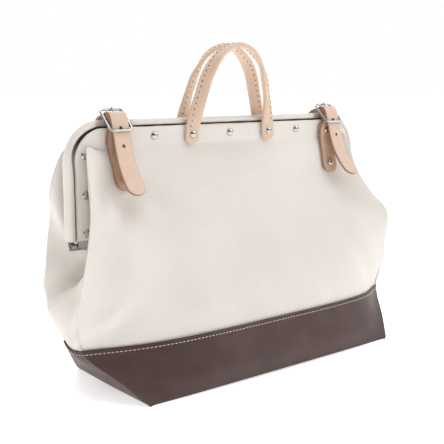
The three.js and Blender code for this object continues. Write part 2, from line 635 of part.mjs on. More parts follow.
/** Rectangular buckle of round wire with its middle bar. */
function buckle(strap) {
  const x = strap.x + strap.atBuckle;
  const low = vec(0, BUCKLE.lowY, BUCKLE.lowZ);
  const high = vec(0, BUCKLE.highY, BUCKLE.highZ);
  const along = high.clone().sub(low);
  const length = along.length();
  along.normalize();
  const normal = vec(0, -along.z, along.y);
  const corners = [[-1, 0, 180], [1, 0, 270], [1, 1, 0], [-1, 1, 90]];
  const rings = corners.flatMap(([sideX, sideT, start]) => Array.from({ length: 3 }, (_, k) => {
    const angle = THREE.MathUtils.degToRad(start + 45 * k);
    const round = BUCKLE.corner;
    const px = sideX * (BUCKLE.half - round) + round * Math.cos(angle);
    const pt = (sideT ? length - round : round) + round * Math.sin(angle);
    const outward = vec(Math.cos(angle), 0, 0).addScaledVector(along, Math.sin(angle));
    return Array.from({ length: 6 }, (__, i) => {
      const around = (2 * Math.PI * (i + 0.5)) / 6;
      return vec(x + px, 0, 0).add(low).addScaledVector(along, pt)
        .addScaledVector(outward, BAR * Math.cos(around)).addScaledVector(normal, BAR * Math.sin(around));
    });
  }));
  const reach = vec(BUCKLE.half, 0, 0);
  const mid = vec(x, BUCKLE.midY, BUCKLE.midZ);
  return solid(loopTube(rings)).add(solid(rod(mid.clone().sub(reach), mid.clone().add(reach), BAR, 6)));
}

/** Shank of a prong with a given radius. */
function prongShank(strap, radius) {
  const x = strap.x + strap.atBuckle;
  const root = vec(x, BUCKLE.midY, BUCKLE.midZ + PRONG.eye - 1);
  return solid(rod(root, vec(x, PRONG.tipY, PRONG.tipZ), radius, 8));
}

/** Prong with its eye round the middle bar. */
function prong(strap) {
  const x = strap.x + strap.atBuckle;
  const low = vec(x - PRONG.half, BUCKLE.midY, BUCKLE.midZ);
  const high = vec(x + PRONG.half, BUCKLE.midY, BUCKLE.midZ);
  const bore = rod(low.clone().setX(low.x - 1), high.clone().setX(high.x + 1), BAR + GAP, 12);
  return prongShank(strap, PRONG.radius).add(solid(rod(low, high, PRONG.eye, 12))).subtract(solid(bore));
}

// Assembly

/** Named mesh with a material of its own. */
function piece(name, geometry, colour, metalness, roughness) {
  const material = new THREE.MeshStandardMaterial({ color: COLOURS[colour], metalness, roughness });
  material.name = colour;
  const mesh = new THREE.Mesh(geometry, material);
  mesh.name = name;
  return mesh;
}

/** The whole bag. */
function toolBag() {
  const bag = new THREE.Group();
  bag.name = "canvas_tool_bag";
  const rivets = rivetList();
  const isFor = (one, marks) => marks.some((mark) => one.name.startsWith(mark));
  const holesFor = (...marks) => rivets.filter((one) => isFor(one, marks)).map(rivetHole);
  const leather = (name, shape) => bag.add(piece(name, geometryOf(shape), "leather", 0, 0.6));
  const steel = (name, shape) => bag.add(piece(name, geometryOf(shape), "steel", 1, 0.35));
  const canvasHoles = holesFor("rivet_chape", "rivet_billet");
  const canvas = (name, from, to) => {
    const shape = cut(solid(canvasPart(from, to)), canvasHoles);
    bag.add(piece(name, geometryOf(shape), "canvas", 0, 0.9));
  };
  canvas("canvas_body", BACK_SHEET.to, BACK_SHEET.from + BACK_SHEET.round);
  canvas("canvas_back", BACK_SHEET.from, BACK_SHEET.to);
  bag.add(piece("vinyl_base", vinylBase(), "vinyl", 0, 0.5));
  const frontHoles = holesFor("rivet_front", "rivet_chape");
  const backHoles = holesFor("rivet_back", "rivet_billet");
  bag.add(piece("front_hem", geometryOf(hem(FRONT_RAIL, frontHoles)), "canvas", 0, 0.9));
  bag.add(piece("back_hem", geometryOf(hem(BACK_RAIL, backHoles)), "canvas", 0, 0.9));
  steel("front_rail", railBar(FRONT_RAIL, HINGE.frontFrom, HINGE.split - GAP / 2, frontHoles));
  steel("back_rail", railBar(BACK_RAIL, HINGE.split + GAP / 2, HINGE.backTo, backHoles));
  steel("hinge_pin_left", hingePin(-1));
  steel("hinge_pin_right", hingePin(1));
  leather("front_handle", handle(FRONT_RAIL, holesFor("rivet_front_handle")));
  leather("back_handle", handle(BACK_RAIL, holesFor("rivet_back_handle")));
  for (const strap of STRAPS) {
    leather(`chape_${strap.side}`, chape(strap, holesFor(`rivet_chape_${strap.side}`)));
    leather(`billet_${strap.side}`, billet(strap, holesFor(`rivet_billet_${strap.side}`)));
    steel(`buckle_${strap.side}`, buckle(strap));
    steel(`prong_${strap.side}`, prong(strap));
  }
  for (const one of rivets) {
    bag.add(piece(one.name, rivet(one), "nickel", 1, 0.25));
  }
  return bag;
}

export default toolBag();
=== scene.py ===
"""Dresses a canvas tool bag: sagging body, vinyl base, leather straps and handles, and bright metal.

Blender works in metres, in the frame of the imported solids: +Z is up, the front of the bag faces -Y, and the
floor of the bag lies on Z = 0. The sizes below are in millimetres, and each finished mesh is scaled once.
"""

import logging
import math
from abc import ABC, abstractmethod
from collections.abc import Callable, Iterable, Sequence
from dataclasses import dataclass, field
from enum import Enum

import bmesh
import bpy
import numpy as np
from mathutils import Matrix, Vector, noise


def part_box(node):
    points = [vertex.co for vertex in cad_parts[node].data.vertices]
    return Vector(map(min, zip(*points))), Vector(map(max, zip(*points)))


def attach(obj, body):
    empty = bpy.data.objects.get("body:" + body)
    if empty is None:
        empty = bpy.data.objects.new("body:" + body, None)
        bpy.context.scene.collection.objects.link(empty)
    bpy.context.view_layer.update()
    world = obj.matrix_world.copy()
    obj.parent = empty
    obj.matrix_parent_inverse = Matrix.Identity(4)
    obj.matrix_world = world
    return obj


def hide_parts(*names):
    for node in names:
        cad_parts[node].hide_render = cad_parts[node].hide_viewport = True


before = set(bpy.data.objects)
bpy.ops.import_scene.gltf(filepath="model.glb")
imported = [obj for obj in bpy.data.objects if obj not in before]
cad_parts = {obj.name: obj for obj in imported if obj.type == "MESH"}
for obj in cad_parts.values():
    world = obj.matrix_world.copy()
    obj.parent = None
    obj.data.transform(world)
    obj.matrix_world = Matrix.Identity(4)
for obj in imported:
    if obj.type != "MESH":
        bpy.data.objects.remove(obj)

Array = np.ndarray
BMesh = bmesh.types.BMesh
Material = bpy.types.Material
Piece = bpy.types.Object
Socket = bpy.types.NodeSocket
Pair = tuple[float, float]
Triple = tuple[float, float, float]

LOG = logging.getLogger("tool_bag")
MM = 0.001
JOIN = 0.001
SHARP = 40.0
WHITE = (1.0, 1.0, 1.0)
FLIP = np.array((-1, 1, 1))
CANVAS = 1.5
VINYL = 1.6
LEATHER = 2.6
GAP = 0.3
HEM_WIDTH = 20.0
HEM_THICK = 5.8
HINGE_Y = 25.7


class Side(Enum):
    """End of the bag, by the sign of X."""

    LEFT = -1
    RIGHT = 1

    @property
    def word(self) -> str:
        """Name of the end as it stands in the names of the solids."""
        return self.name.lower()


class Face(Enum):
    """Side of the body that a fold lies on, as the direction in X and Y that it faces."""

    FRONT = (0, -1)
    LEFT = (-1, 0)
    RIGHT = (1, 0)


@dataclass(frozen=True)
class Rail:
    """One half of the mouth frame.

    Attributes:
        word: Name of the half as it stands in the names of the solids.
        half: Half length over the hem.
        top: Height of the hem.
        corner: Radius of the outer corner.
        foot: Height of the foot of each leg.
        face: Y of the outer face of the hem.
        away: Sign of Y from the outer face into the bag.
    """

    word: str
    half: float
    top: float
    corner: float
    foot: float
    face: float
    away: float


FRONT_RAIL = Rail("front", 198, 267, 34, 154, 19, 1)
BACK_RAIL = Rail("back", 208, 275, 43, 154, 32.4, -1)


@dataclass(frozen=True)
class Section:
    """Outline of the body at one height, for the right end and mirrored to the left.

    Attributes:
        z: Height on the broad panels.
        crease_z: Height on the fold between a panel and an end.
        end_z: Height in the middle of an end.
        mid_y: Y of the front panel in the middle of the bag.
        panel: X and Y of a point of the front panel near its fold.
        crease: X and Y of the front fold.
        end: X and Y of the middle of the end.
        back_crease: X and Y of the back fold.
        back_panel_y: Y of the back panel near its fold.
        back_mid_y: Y of the back panel in the middle of the bag.
        back_lift: Height of the back fold over the front one.
        right_in: How far further in the right front fold lies.
    """

    z: float
    crease_z: float
    end_z: float
    mid_y: float
    panel: Pair
    crease: Pair
    end: Pair
    back_crease: Pair
    back_panel_y: float
    back_mid_y: float
    back_lift: float = 0.0
    right_in: float = 0.0


SECTIONS = (
    Section(0, 0, 0, -73, (120, -73), (174, -72), (175, 0), (174, 72), 73, 73, 0, -2),
    Section(22, 20, 20, -76, (128, -72), (191, -50), (193, 1), (191, 52), 74, 78, 0, -3),
    Section(60, 50, 48, -67, (150, -53), (216, -12), (219, 3), (213, 30), 61, 75, 0, -9),
    Section(86, 82, 80, -58, (153, -47), (223, -16), (216, 8), (223, 39), 64, 74, 0, -7),
    Section(114, 114, 103, -46, (156, -41), (221, -25), (199, 13), (219, 53), 69, 75, 0, -3),
    Section(150, 150, 118, -29, (158, -27), (217, -31), (188, 21), (211, 62), 74, 76, 0, -2),
    Section(177, 176, 128, -16, (162, -12), (206, -20), (184, 23), (208, 61), 63, 68, 0, 6),
    Section(207, 203, 137, -1, (165, 7.5), (196, -4), (181.5, 24), (211, 52), 45.5, 54, 0, 5),
    Section(232, 249, 143, 11.5, (165, 15), (188, 13), (179.5, 25), (197, 41), 37, 42, -2, 7),
)
MOUTH_LEVEL = len(SECTIONS)
VINYL_LEVEL = 2


@dataclass(frozen=True)
class Fold:
    """Soft dent or ridge of the canvas.

    Attributes:
        face: Side of the body that it lies on.
        at: X, or Y on an end, and Z of its middle.
        depth: How far it goes in, or out where it is negative.
        along: Reach of its long direction.
        across: Reach of its short direction.
        turn: Turn of the long direction from level, in degrees.
        FACING: How soon it fades where the skin turns away from that side.
    """

    face: Face
    at: Pair
    depth: float
    along: float
    across: float
    turn: float

    FACING = 3.0

    def press(self, points: Array, out: Array) -> Array:
        """Depth of the fold at each point of a skin, given the outward directions there."""
        x, y = self.face.value
        level = points[..., 0] if x == 0 else points[..., 1]
        dx = level - self.at[0]
        dz = points[..., 2] - self.at[1]
        turn = math.radians(self.turn)
        along = (dx * math.cos(turn) + dz * math.sin(turn)) / self.along
        across = (dz * math.cos(turn) - dx * math.sin(turn)) / self.across
        facing = np.clip(self.FACING * (out[..., 0] * x + out[..., 1] * y), 0, 1)
        return self.depth * facing * np.exp(-along * along - across * across)


FOLDS = (
    Fold(Face.FRONT, (-148, 194), 3.5, 32, 9, 40),
    Fold(Face.FRONT, (-119, 192), 3, 26, 10, -35),
    Fold(Face.FRONT, (-171, 199), -3, 20, 8, 60),
    Fold(Face.FRONT, (-184, 210), 2, 16, 8, 60),
    Fold(Face.FRONT, (-118, 140), 3, 60, 26, 75),
    Fold(Face.FRONT, (-172, 142), -3, 40, 17, 80),
    Fold(Face.FRONT, (-90, 92), -3, 50, 18, 10),
    Fold(Face.FRONT, (-196, 82), -3, 24, 7, 48),
    Fold(Face.FRONT, (-184, 74), 3, 26, 8, 48),
    Fold(Face.FRONT, (160, 178), 4, 34, 12, -30),
    Fold(Face.FRONT, (168, 96), 4, 45, 13, -48),
    Fold(Face.LEFT, (20, 125), 10, 24, 8, -56),
    Fold(Face.LEFT, (6, 136), 4, 14, 9, -30),
    Fold(Face.LEFT, (10, 108), -8, 30, 9, -42),
    Fold(Face.LEFT, (38, 128), -6, 28, 8, -66),
    Fold(Face.LEFT, (46, 195), -3, 45, 6, 90),
    Fold(Face.LEFT, (33, 192), 9, 48, 8, 90),
    Fold(Face.LEFT, (0, 66), 3, 8, 14, 25),
    Fold(Face.RIGHT, (12, 106), 7, 26, 6, -8),
    Fold(Face.RIGHT, (6, 88), -4, 24, 9, -8),
)


def smoothstep(value: Array | float, low: float, high: float) -> Array:
    """Smooth rise from 0 at low to 1 at high."""
    part = np.clip((np.asarray(value, float) - low) / (high - low), 0.0, 1.0)
    return part * part * (3.0 - 2.0 * part)


def knot(a: Array, b: Array) -> Array:
    """Centripetal step between two rows of points."""
    return np.maximum(np.sqrt(np.linalg.norm(b - a, axis=-1, keepdims=True)), 1e-4)


def through(points: Sequence, at: Array) -> Array:
    """Reads a smooth curve through rows of points.

    Args:
        points: Rows of points, whose last axis holds the coordinates.
        at: Positions from 0, the first row, to the last row.

    Returns:
        The curve at those positions, one row for each.
    """
    given = np.asarray(points, float)
    rows = np.concatenate([2 * given[:1] - given[1:2], given, 2 * given[-1:] - given[-2:-1]])
    first = np.clip(np.asarray(at).astype(int), 0, len(given) - 2)
    p0, p1, p2, p3 = (rows[first + i] for i in range(4))
    d0, d1, d2 = knot(p0, p1), knot(p1, p2), knot(p2, p3)
    leave = ((p1 - p0) / d0 - (p2 - p0) / (d0 + d1) + (p2 - p1) / d1) * d1
    reach = ((p2 - p1) / d1 - (p3 - p1) / (d1 + d2) + (p3 - p2) / d2) * d1
    t = (at - first).reshape((-1,) + (1,) * (given.ndim - 1))
    square = 3 * (p2 - p1) - 2 * leave - reach
    cube = 2 * (p1 - p2) + leave + reach
    return p1 + t * (leave + t * (square + t * cube))


def unit(vectors: Array) -> Array:
    """Vectors of length 1."""
    return vectors / np.maximum(np.linalg.norm(vectors, axis=-1, keepdims=True), 1e-9)


def run_lengths(points: Array) -> Array:
    """Length along a line of points up to each of them."""
    steps = np.linalg.norm(np.diff(points, axis=0), axis=-1)
    return np.concatenate([[0.0], np.cumsum(steps)])


class BagShape:
    """Outer skin of the bag, as columns that climb from the floor to the mouth.

    Attributes:
        END_SAG: Power of the sag of an end between its folds.
        PANEL_LIFT: Share of the rise of a fold that the panel near it has.
        LEG_SLACK: How far the canvas lies inside the edge of a leg.
        LEG_FROM: Share of the run from the hinge to the fold that lies under the foot of a leg.
        FOOT_DROP: How far under the foot of a leg the canvas meets it.
        FOLD_TURN: Angle round a corner of the hem at which the fold arrives.
        TUCK: How far the canvas is slipped under the hems.
        HINGE_END: Middle of the right end at the mouth.
        LEG_NEAR: How far inside a leg the canvas is still kept off it.
        LEG_CLEAR: Clearance at the edge of a leg, what its rivets add, and the distance over which.
        LEG_EASE: Slope at which the clearance ends under a foot, and how far under it that starts.
        MOUTH_FADE: Levels over which the folds fade out at the mouth.
        SLOPE_STEP: Levels to each side over which the slope of the skin is taken.
    """

    END_SAG = 1.7
    PANEL_LIFT = 0.3
    LEG_SLACK = 1.4
    LEG_FROM = 0.25
    FOOT_DROP = 4.0
    FOLD_TURN = 45.0
    TUCK = 4.0
    HINGE_END = (178.5, HINGE_Y, 147.0)
    LEG_NEAR = 4.0
    LEG_CLEAR = (0.6, 2.4, 6.0)
    LEG_EASE = (2.0, 7.0)
    MOUTH_FADE = 0.6
    SLOPE_STEP = 0.08

    def __init__(self, end_steps: int = 14, panel_steps: int = 18) -> None:
        """Sets the columns up.

        Args:
            end_steps: Columns over half of an end.
            panel_steps: Columns over a quarter of a broad panel.
        """
        self.end_steps = end_steps
        self.panel_steps = panel_steps
        quarter = np.linspace(0, math.pi / 2, panel_steps + 1)
        self.near = (quarter * 2 / math.pi + 1 - np.cos(quarter)) / 2
        half = np.linspace(0, math.pi, 2 * end_steps + 1)
        self.end_places = (half * 2 / math.pi + 1 - np.cos(half)) / 2
        rings = [self._section_ring(section) for section in SECTIONS]
        rings.append(self._mouth_ring(0.0))
        rings.append(self._mouth_ring(self.TUCK))
        self.rings = np.array(rings)

    def _end_run(self, first: Array, middle: Array, last: Array) -> Array:
        """Run over one end from fold to fold, which sags between them and is denser near them."""
        run = through([first, middle, last], self.end_places)
        fold_z = np.where(self.end_places < 1, first[2], last[2])
        run[:, 2] = middle[2] + (fold_z - middle[2]) * np.abs(self.end_places - 1) ** self.END_SAG
        return run

    def _section_ring(self, s: Section) -> Array:
        """Ring of one section, from the left back fold round the front and on to the back."""
        panel_z = s.z + self.PANEL_LIFT * (s.crease_z - s.z)
        front_fold = np.array((*s.crease, s.crease_z))
        right_fold = front_fold - (s.right_in, 0, 0)
        back_fold = np.array((*s.back_crease, s.crease_z + s.back_lift))
        end = np.array((*s.end, s.end_z))
        front_near = np.array((*s.panel, panel_z))
        back_near = np.array((s.panel[0], s.back_panel_y, panel_z))
        front_row = [front_fold * FLIP, front_near * FLIP, (0, s.mid_y, s.z), front_near, right_fold]
        back_row = [back_fold, back_near, (0, s.back_mid_y, s.z), back_near * FLIP, back_fold * FLIP]
        across = np.linspace(1, 3, 2 * self.panel_steps + 1)
        panels = np.concatenate([self.near[:-1], across, 4 - self.near[-2::-1]])
        left = self._end_run(back_fold * FLIP, end * FLIP, front_fold * FLIP)
        right = self._end_run(right_fold, end, back_fold)
        runs = (left, through(front_row, panels), right, through(back_row, panels))
        return np.concatenate([run[:-1] for run in runs])

    def _half_mouth(self, rail: Rail, tuck: float) -> Array:
        """Left half of the edge of a hem, tucked under it, from the hinge up the leg and to the middle."""
        half = rail.half - HEM_WIDTH - GAP
        top = rail.top - HEM_WIDTH - GAP
        corner = rail.corner - HEM_WIDTH
        face = rail.face + rail.away * (GAP if tuck else 0.0)
        hinge = np.array(self.HINGE_END) * FLIP
        foot = np.array((-half + self.LEG_SLACK, face, rail.foot - self.FOOT_DROP))
        climb = self.end_places[self.end_steps + 1 :] - 1
        low = np.clip(climb / self.LEG_FROM, 0, 1)[:, None]
        start = hinge * (1 - low) + foot * low
        start[:, 0] -= tuck * smoothstep(climb, 0, self.LEG_FROM)
        fold = math.radians(self.FOLD_TURN)
        upright = top - corner - foot[2]
        above = np.clip((climb - self.LEG_FROM) / (1 - self.LEG_FROM), 0, 1)
        length = above * (upright + corner * fold)
        turn = np.clip((length - upright) / corner, 0, fold)
        reach = corner + tuck
        leg = start + np.stack([reach * (1 - np.cos(turn)), 0 * turn, np.minimum(length, upright)], axis=-1)
        leg[:, 2] += reach * np.sin(turn)
        leg[:, 0] -= self.LEG_SLACK * smoothstep(turn, 0, fold)
        along = np.concatenate([self.near[1:], np.linspace(1, 2, self.panel_steps + 1)[1:]])
        angle = fold + (math.pi / 2 - fold) * np.clip(along, 0, 1)
        rim_x = np.where(along > 1, (-half + corner) * (2 - along), -half + corner - reach * np.cos(angle))
        rim = np.stack([rim_x, np.full_like(along, face), top - corner + reach * np.sin(angle)], axis=-1)
        return np.concatenate([leg, rim])

    def _mouth_ring(self, tuck: float) -> Array:
        """Ring of the whole mouth, in the order of a section ring."""
        front = self._half_mouth(FRONT_RAIL, tuck)
        back = self._half_mouth(BACK_RAIL, tuck)
        end = np.array([self.HINGE_END])
        leg, rest = back[: self.end_steps], back[self.end_steps :]
        left = [leg[::-1], end * FLIP, front]
        right = [(front * FLIP)[-2::-1], end, leg * FLIP, rest * FLIP, rest[-2::-1]]
        return np.concatenate(left + right)

    def _clear_of_legs(self, points: Array) -> Array:
        """Points kept off the legs of the hems and the rivet heads on them."""
        made = points.copy()
        least, more, over = self.LEG_CLEAR
        slope, under = self.LEG_EASE
        for rail in (FRONT_RAIL, BACK_RAIL):
            inner = rail.half - HEM_WIDTH - GAP - self.LEG_SLACK
            x = np.abs(points[..., 0])
            z = points[..., 2]
            near = (points[..., 1] - HINGE_Y) * rail.away < 0
            near &= (x >= inner - self.LEG_NEAR) & (z <= rail.top - HEM_WIDTH)
            clear = least + more * smoothstep(x - inner, 0, over)
            limit = rail.face - rail.away * (clear - slope * np.maximum(0, rail.foot - under - z))
            held = np.minimum(points[..., 1], limit) if rail.away > 0 else np.maximum(points[..., 1], limit)
            made[..., 1] = np.where(near, held, made[..., 1])
        return made

    def skin(self, levels: Array) -> tuple[Array, Array]:
        """Reads rings of the skin.

        Args:
            levels: Places in the table of sections, with the mouth as the row after the last.

        Returns:
            The points of the rings, and the outward direction at each point.
        """
        top = len(self.rings) - 1
        points = through(self.rings, levels)
        along = np.roll(points, -1, axis=1) - np.roll(points, 1, axis=1)
        above = through(self.rings, np.clip(levels + self.SLOPE_STEP, 0, top))
        up = above - through(self.rings, np.clip(levels - self.SLOPE_STEP, 0, top))
        out = unit(np.cross(along, up))
        fade = smoothstep(MOUTH_LEVEL - levels, 0, self.MOUTH_FADE)[:, None]
        depth = fade * sum(fold.press(points, out) for fold in FOLDS)
        pressed = points - out * depth[..., None]
        below = (levels < MOUTH_LEVEL)[:, None, None]
        return np.where(below, self._clear_of_legs(pressed), pressed), out


def ripple(points: Array, out: Array, height: float, length: float) -> Array:
    """Skin with shallow, even waves of a height and a length along its outward directions."""
    flat = points.reshape(-1, 3)
    waves = np.array([noise.noise(Vector(p) / length) for p in flat]).reshape(points.shape[:-1])
    return points + out * (height * waves)[..., None]


def join(bm: BMesh) -> None:
    """Joins the points of a mesh that lie on each other."""
    bmesh.ops.remove_doubles(bm, verts=bm.verts, dist=JOIN)


def face_out(bm: BMesh) -> None:
    """Turns the faces of a closed mesh outward."""
    bmesh.ops.recalc_face_normals(bm, faces=bm.faces)


def finished_mesh(name: str, bm: BMesh, sharp: float = SHARP) -> Piece:
    """Object of a mesh built in millimetres, scaled to metres and smooth but for its sharp edges.

    Args:
        name: Name of the piece.
        bm: Mesh in millimetres, which is used up.
        sharp: Angle in degrees from which an edge is left sharp.
    """
    bmesh.ops.scale(bm, vec=(MM, MM, MM), verts=bm.verts)
    mesh = bpy.data.meshes.new(name)
    bm.to_mesh(mesh)
    bm.free()
    mesh.shade_smooth()
    mesh.set_sharp_from_angle(angle=math.radians(sharp))
    piece = bpy.data.objects.new(name, mesh)
    bpy.context.scene.collection.objects.link(piece)
    return piece


def lofted(rings: Array, capped: bool = False, edge_columns: Iterable[int] = ()) -> BMesh:
    """Skin through a stack of closed rings, laid out from a flat grid.

    Args:
        rings: Points, as rows of rings.
        capped: Whether both ends are closed.
        edge_columns: Columns whose faces, with the caps, take the second material.

    Returns:
        The mesh, with its lengths round and along as a UV map.
    """
    rows, around = rings.shape[:2]
    middle = rings[rows // 2]
    lengths_round = run_lengths(np.concatenate([middle, middle[:1]]))
    lengths_up = run_lengths(rings.mean(axis=1) if capped else rings[:, around // 3])
    second = set(edge_columns)
    bm = bmesh.new()
    bmesh.ops.create_grid(bm, x_segments=around, y_segments=rows - 1, size=0.5)
    laid = bm.loops.layers.uv.new("lay")
    for face in bm.faces:
        column = int((face.calc_center_median().x + 0.5) * around)
        face.material_index = 1 if column in second else 0
    for vert in bm.verts:
        column = round((vert.co.x + 0.5) * around)
        row = round((vert.co.y + 0.5) * (rows - 1))
        for loop in vert.link_loops:
            loop[laid].uv = (lengths_round[column], lengths_up[row])
        vert.co = rings[row, column % around]
    join(bm)
    if capped:
        close_ends(bm, 1 if second else 0)
    face_out(bm)
    return bm


def close_ends(bm: BMesh, material: int = 0) -> None:
    """Fills every open loop of a mesh with one face."""
    rim = [edge for edge in bm.edges if edge.is_boundary]
    for face in bmesh.ops.holes_fill(bm, edges=rim, sides=0)["faces"]:
        face.material_index = material


def flat_lay(bm: BMesh) -> None:
    """Gives a mesh a UV map in millimetres, level along X and upright along Z and Y."""
    laid = bm.loops.layers.uv.new("lay")
    for face in bm.faces:
        for loop in face.loops:
            loop[laid].uv = (loop.vert.co.x, loop.vert.co.z + loop.vert.co.y)


class LoopRun:
    """Closed edge loop that is drawn along straight runs and arcs, and leaves a skin behind it."""

    def __init__(self, bm: BMesh, points: Iterable[Vector]) -> None:
        """Starts the loop through the given points."""
        self.bm = bm
        self.verts = [bm.verts.new(point) for point in points]
        self.edges = [bm.edges.new((self.verts[i - 1], self.verts[i])) for i in range(len(self.verts))]

    def _take(self, geometry: Iterable) -> None:
        """Takes the newest loop as the one to draw on."""
        made = list(geometry)
        self.verts = [item for item in made if isinstance(item, bmesh.types.BMVert)]
        fresh = set(self.verts)
        edges = [item for item in made if isinstance(item, bmesh.types.BMEdge)]
        self.edges = [edge for edge in edges if all(vert in fresh for vert in edge.verts)]

    def straight(self, reach: Vector, cuts: int) -> None:
        """Draws the loop along a straight run in a number of steps."""
        for _ in range(cuts):
            self._take(bmesh.ops.extrude_edge_only(self.bm, edges=self.edges)["geom"])
            bmesh.ops.translate(self.bm, verts=self.verts, vec=reach / cuts)

    def arc(self, centre: Vector, axis: Vector, degrees: float, steps: int) -> None:
        """Draws the loop round a centre."""
        made = bmesh.ops.spin(
            self.bm, geom=self.verts + self.edges, cent=centre, axis=axis, dvec=(0, 0, 0),
            angle=math.radians(degrees), steps=steps, use_merge=False, use_duplicate=False,
        )
        self._take(made["geom_last"])


def punched(piece: Piece, cutters: BMesh, wall: Material) -> None:
    """Cuts holes through a piece.

    Args:
        piece: Piece to cut.
        cutters: Shapes of the holes in millimetres, which are used up.
        wall: Finish of the walls of the holes.
    """
    tool = finished_mesh(f"{piece.name}_punch", cutters)
    tool.data.materials.append(wall)
    cut = piece.modifiers.new("holes", "BOOLEAN")
    cut.object = tool
    cut.operation = "DIFFERENCE"
    cut.solver = "EXACT"
    cut.material_mode = "TRANSFER"
    shown = piece.evaluated_get(bpy.context.evaluated_depsgraph_get())
    mesh = bpy.data.meshes.new_from_object(shown)
    piece.modifiers.clear()
    piece.data = mesh
    bpy.data.objects.remove(tool)
    mesh.set_sharp_from_angle(angle=math.radians(SHARP))


class NodeBoard:
    """Node tree of a material or of the room, with short calls for the nodes that the looks need."""

    def __init__(self, owner: Material | bpy.types.World, shader: str = "Principled BSDF") -> None:
        """Takes the tree up with only its shader and its output."""
        owner.use_nodes = True
        self.owner = owner
        self.tree = owner.node_tree
        self.shader = self.tree.nodes[shader]

    def feed(self, node: bpy.types.Node, inputs: dict[str | int, Socket | float | Sequence[float]]) -> None:
        """Wires the inputs that are given as sockets and sets the others to their values."""
        for name, value in inputs.items():
            if isinstance(value, Socket):
                self.tree.links.new(value, node.inputs[name])
            else:
                node.inputs[name].default_value = value

    def coat(self, **inputs: Socket | float | Sequence[float]) -> None:
        """Feeds the shader, whose inputs are named with _ for a space."""
        self.feed(self.shader, {name.replace("_", " "): value for name, value in inputs.items()})

    def node(self, kind: str, inputs: dict | None = None, **settings: object) -> bpy.types.Node:
        """New node with its settings and its inputs."""
        made = self.tree.nodes.new(f"ShaderNode{kind}")
        for name, value in settings.items():
            setattr(made, name, value)
        self.feed(made, inputs or {})
        return made

    def place(self, kind: str) -> Socket:
        """Coordinates of a kind, such as Object or UV."""
        return self.node("TexCoord").outputs[kind]

    def stretched(self, coords: Socket, scale: Sequence[float]) -> Socket:
        """Coordinates with a scale of their own in each direction."""
        return self.node("Mapping", {"Vector": coords, "Scale": scale}).outputs["Vector"]

    def cloud(self, coords: Socket, scale: float, detail: float = 3.0) -> Socket:
        """Soft noise of a scale."""
        return self.node("TexNoise", {"Vector": coords, "Scale": scale, "Detail": detail}).outputs["Fac"]

    def cells(self, coords: Socket, scale: float) -> Socket:
        """Pebbled cells of a scale, high between their middles."""
        made = self.node("TexVoronoi", {"Vector": coords, "Scale": scale}, feature="SMOOTH_F1")
        return made.outputs["Distance"]

    def blend(
        self, part: Socket, low: Sequence[float], high: Sequence[float], start: float = 0.3, end: float = 0.7
    ) -> Socket:
        """Colour that goes from one to another as a value rises from start to end."""
        made = self.node("ValToRGB", {"Fac": part})
        for stop, colour, place in zip(made.color_ramp.elements, (low, high), (start, end)):
            stop.position = place
            stop.color = (*colour, 1)
        return made.outputs["Color"]

    def times(self, a: Socket, b: Socket, share: float) -> Socket:
        """First colour multiplied by a share of the second."""
        made = self.node("Mix", {"Factor": share, 6: a, 7: b}, data_type="RGBA", blend_type="MULTIPLY")
        return made.outputs[2]

    def sum(self, kind: str, a: Socket, b: Socket | float) -> Socket:
        """Result of a sum of a kind on one or two values."""
        return self.node("Math", {0: a, 1: b}, operation=kind).outputs[0]

    def span(self, value: Socket, low: float, high: float) -> Socket:
        """Value from 0 to 1 spread from low to high."""
        return self.node("MapRange", {"Value": value, "To Min": low, "To Max": high}).outputs["Result"]

    def raise_by(self, height: Socket, strength: float, distance: float) -> None:
        """Adds a bump over those already there."""
        before = self.shader.inputs["Normal"]
        under = {"Normal": before.links[0].from_socket} if before.is_linked else {}
        sizes = {"Strength": strength, "Distance": distance}
        self.coat(Normal=self.node("Bump", {"Height": height, **sizes, **under}).outputs["Normal"])


class Finish(ABC):
    """Look of one kind of material."""

    @abstractmethod
    def paint(self, board: NodeBoard) -> None:
        """Lays the look out on the board of a material."""

    def material(self, name: str) -> Material:
        """New material with this look."""
        board = NodeBoard(bpy.data.materials.new(name))
        self.paint(board)
        return board.owner


@dataclass(frozen=True)
class CanvasFinish(Finish):
    """Heavy unbleached cotton duck.

    Attributes:
        shade: Colour in the duller patches.
        bright: Colour in the cleaner patches.
        shade_tint: Share of the colour that is left where shade is painted on the cloth.
        pitch: Distance between threads in millimetres.
    """

    shade: Triple = (0.752, 0.715, 0.670)
    bright: Triple = (0.797, 0.764, 0.722)
    shade_tint: Triple = (0.12, 0.095, 0.085)
    pitch: float = 0.9

    def paint(self, board: NodeBoard) -> None:
        """Lays out weave, slubs and faint patches, and the painted shade that the mesh carries."""
        lay = board.place("UV")
        here = board.place("Object")
        patches = board.blend(board.cloud(here, 11), self.shade, self.bright, 0.35, 0.65)
        flecks = board.blend(board.cloud(here, 700, 2), (0.95, 0.94, 0.925), WHITE, 0.36, 0.55)
        slubs_along = board.cloud(board.stretched(lay, (0.05, 1.1, 1)), 1.0, 2)
        slubs_up = board.cloud(board.stretched(lay, (1.1, 0.05, 1)), 1.0, 2)
        slubs = board.sum("MULTIPLY", slubs_along, slubs_up)
        tint = board.blend(slubs, (0.98, 0.974, 0.965), WHITE, 0.14, 0.34)
        # Painted shade: darkens the cloth where the mesh marks the slit behind the front hem.
        soil = board.node("Attribute", attribute_name="soil").outputs["Fac"]
        colour = board.times(board.times(patches, flecks, 0.6), tint, 1.0)
        colour = board.times(colour, board.blend(soil, WHITE, self.shade_tint, 0.0, 1.0), 1.0)
        board.coat(Base_Color=colour, Roughness=0.92, Specular_IOR_Level=0.22)
        board.coat(Sheen_Weight=0.06, Sheen_Roughness=0.6)
        split = board.node("SeparateXYZ", {0: lay})
        wave = math.pi / self.pitch
        over, under = (board.sum("SINE", board.sum("MULTIPLY", split.outputs[k], wave), 0) for k in "XY")
        board.raise_by(slubs, 0.3, 0.0005)
        board.raise_by(board.sum("MULTIPLY", over, under), 0.18, 0.00012)


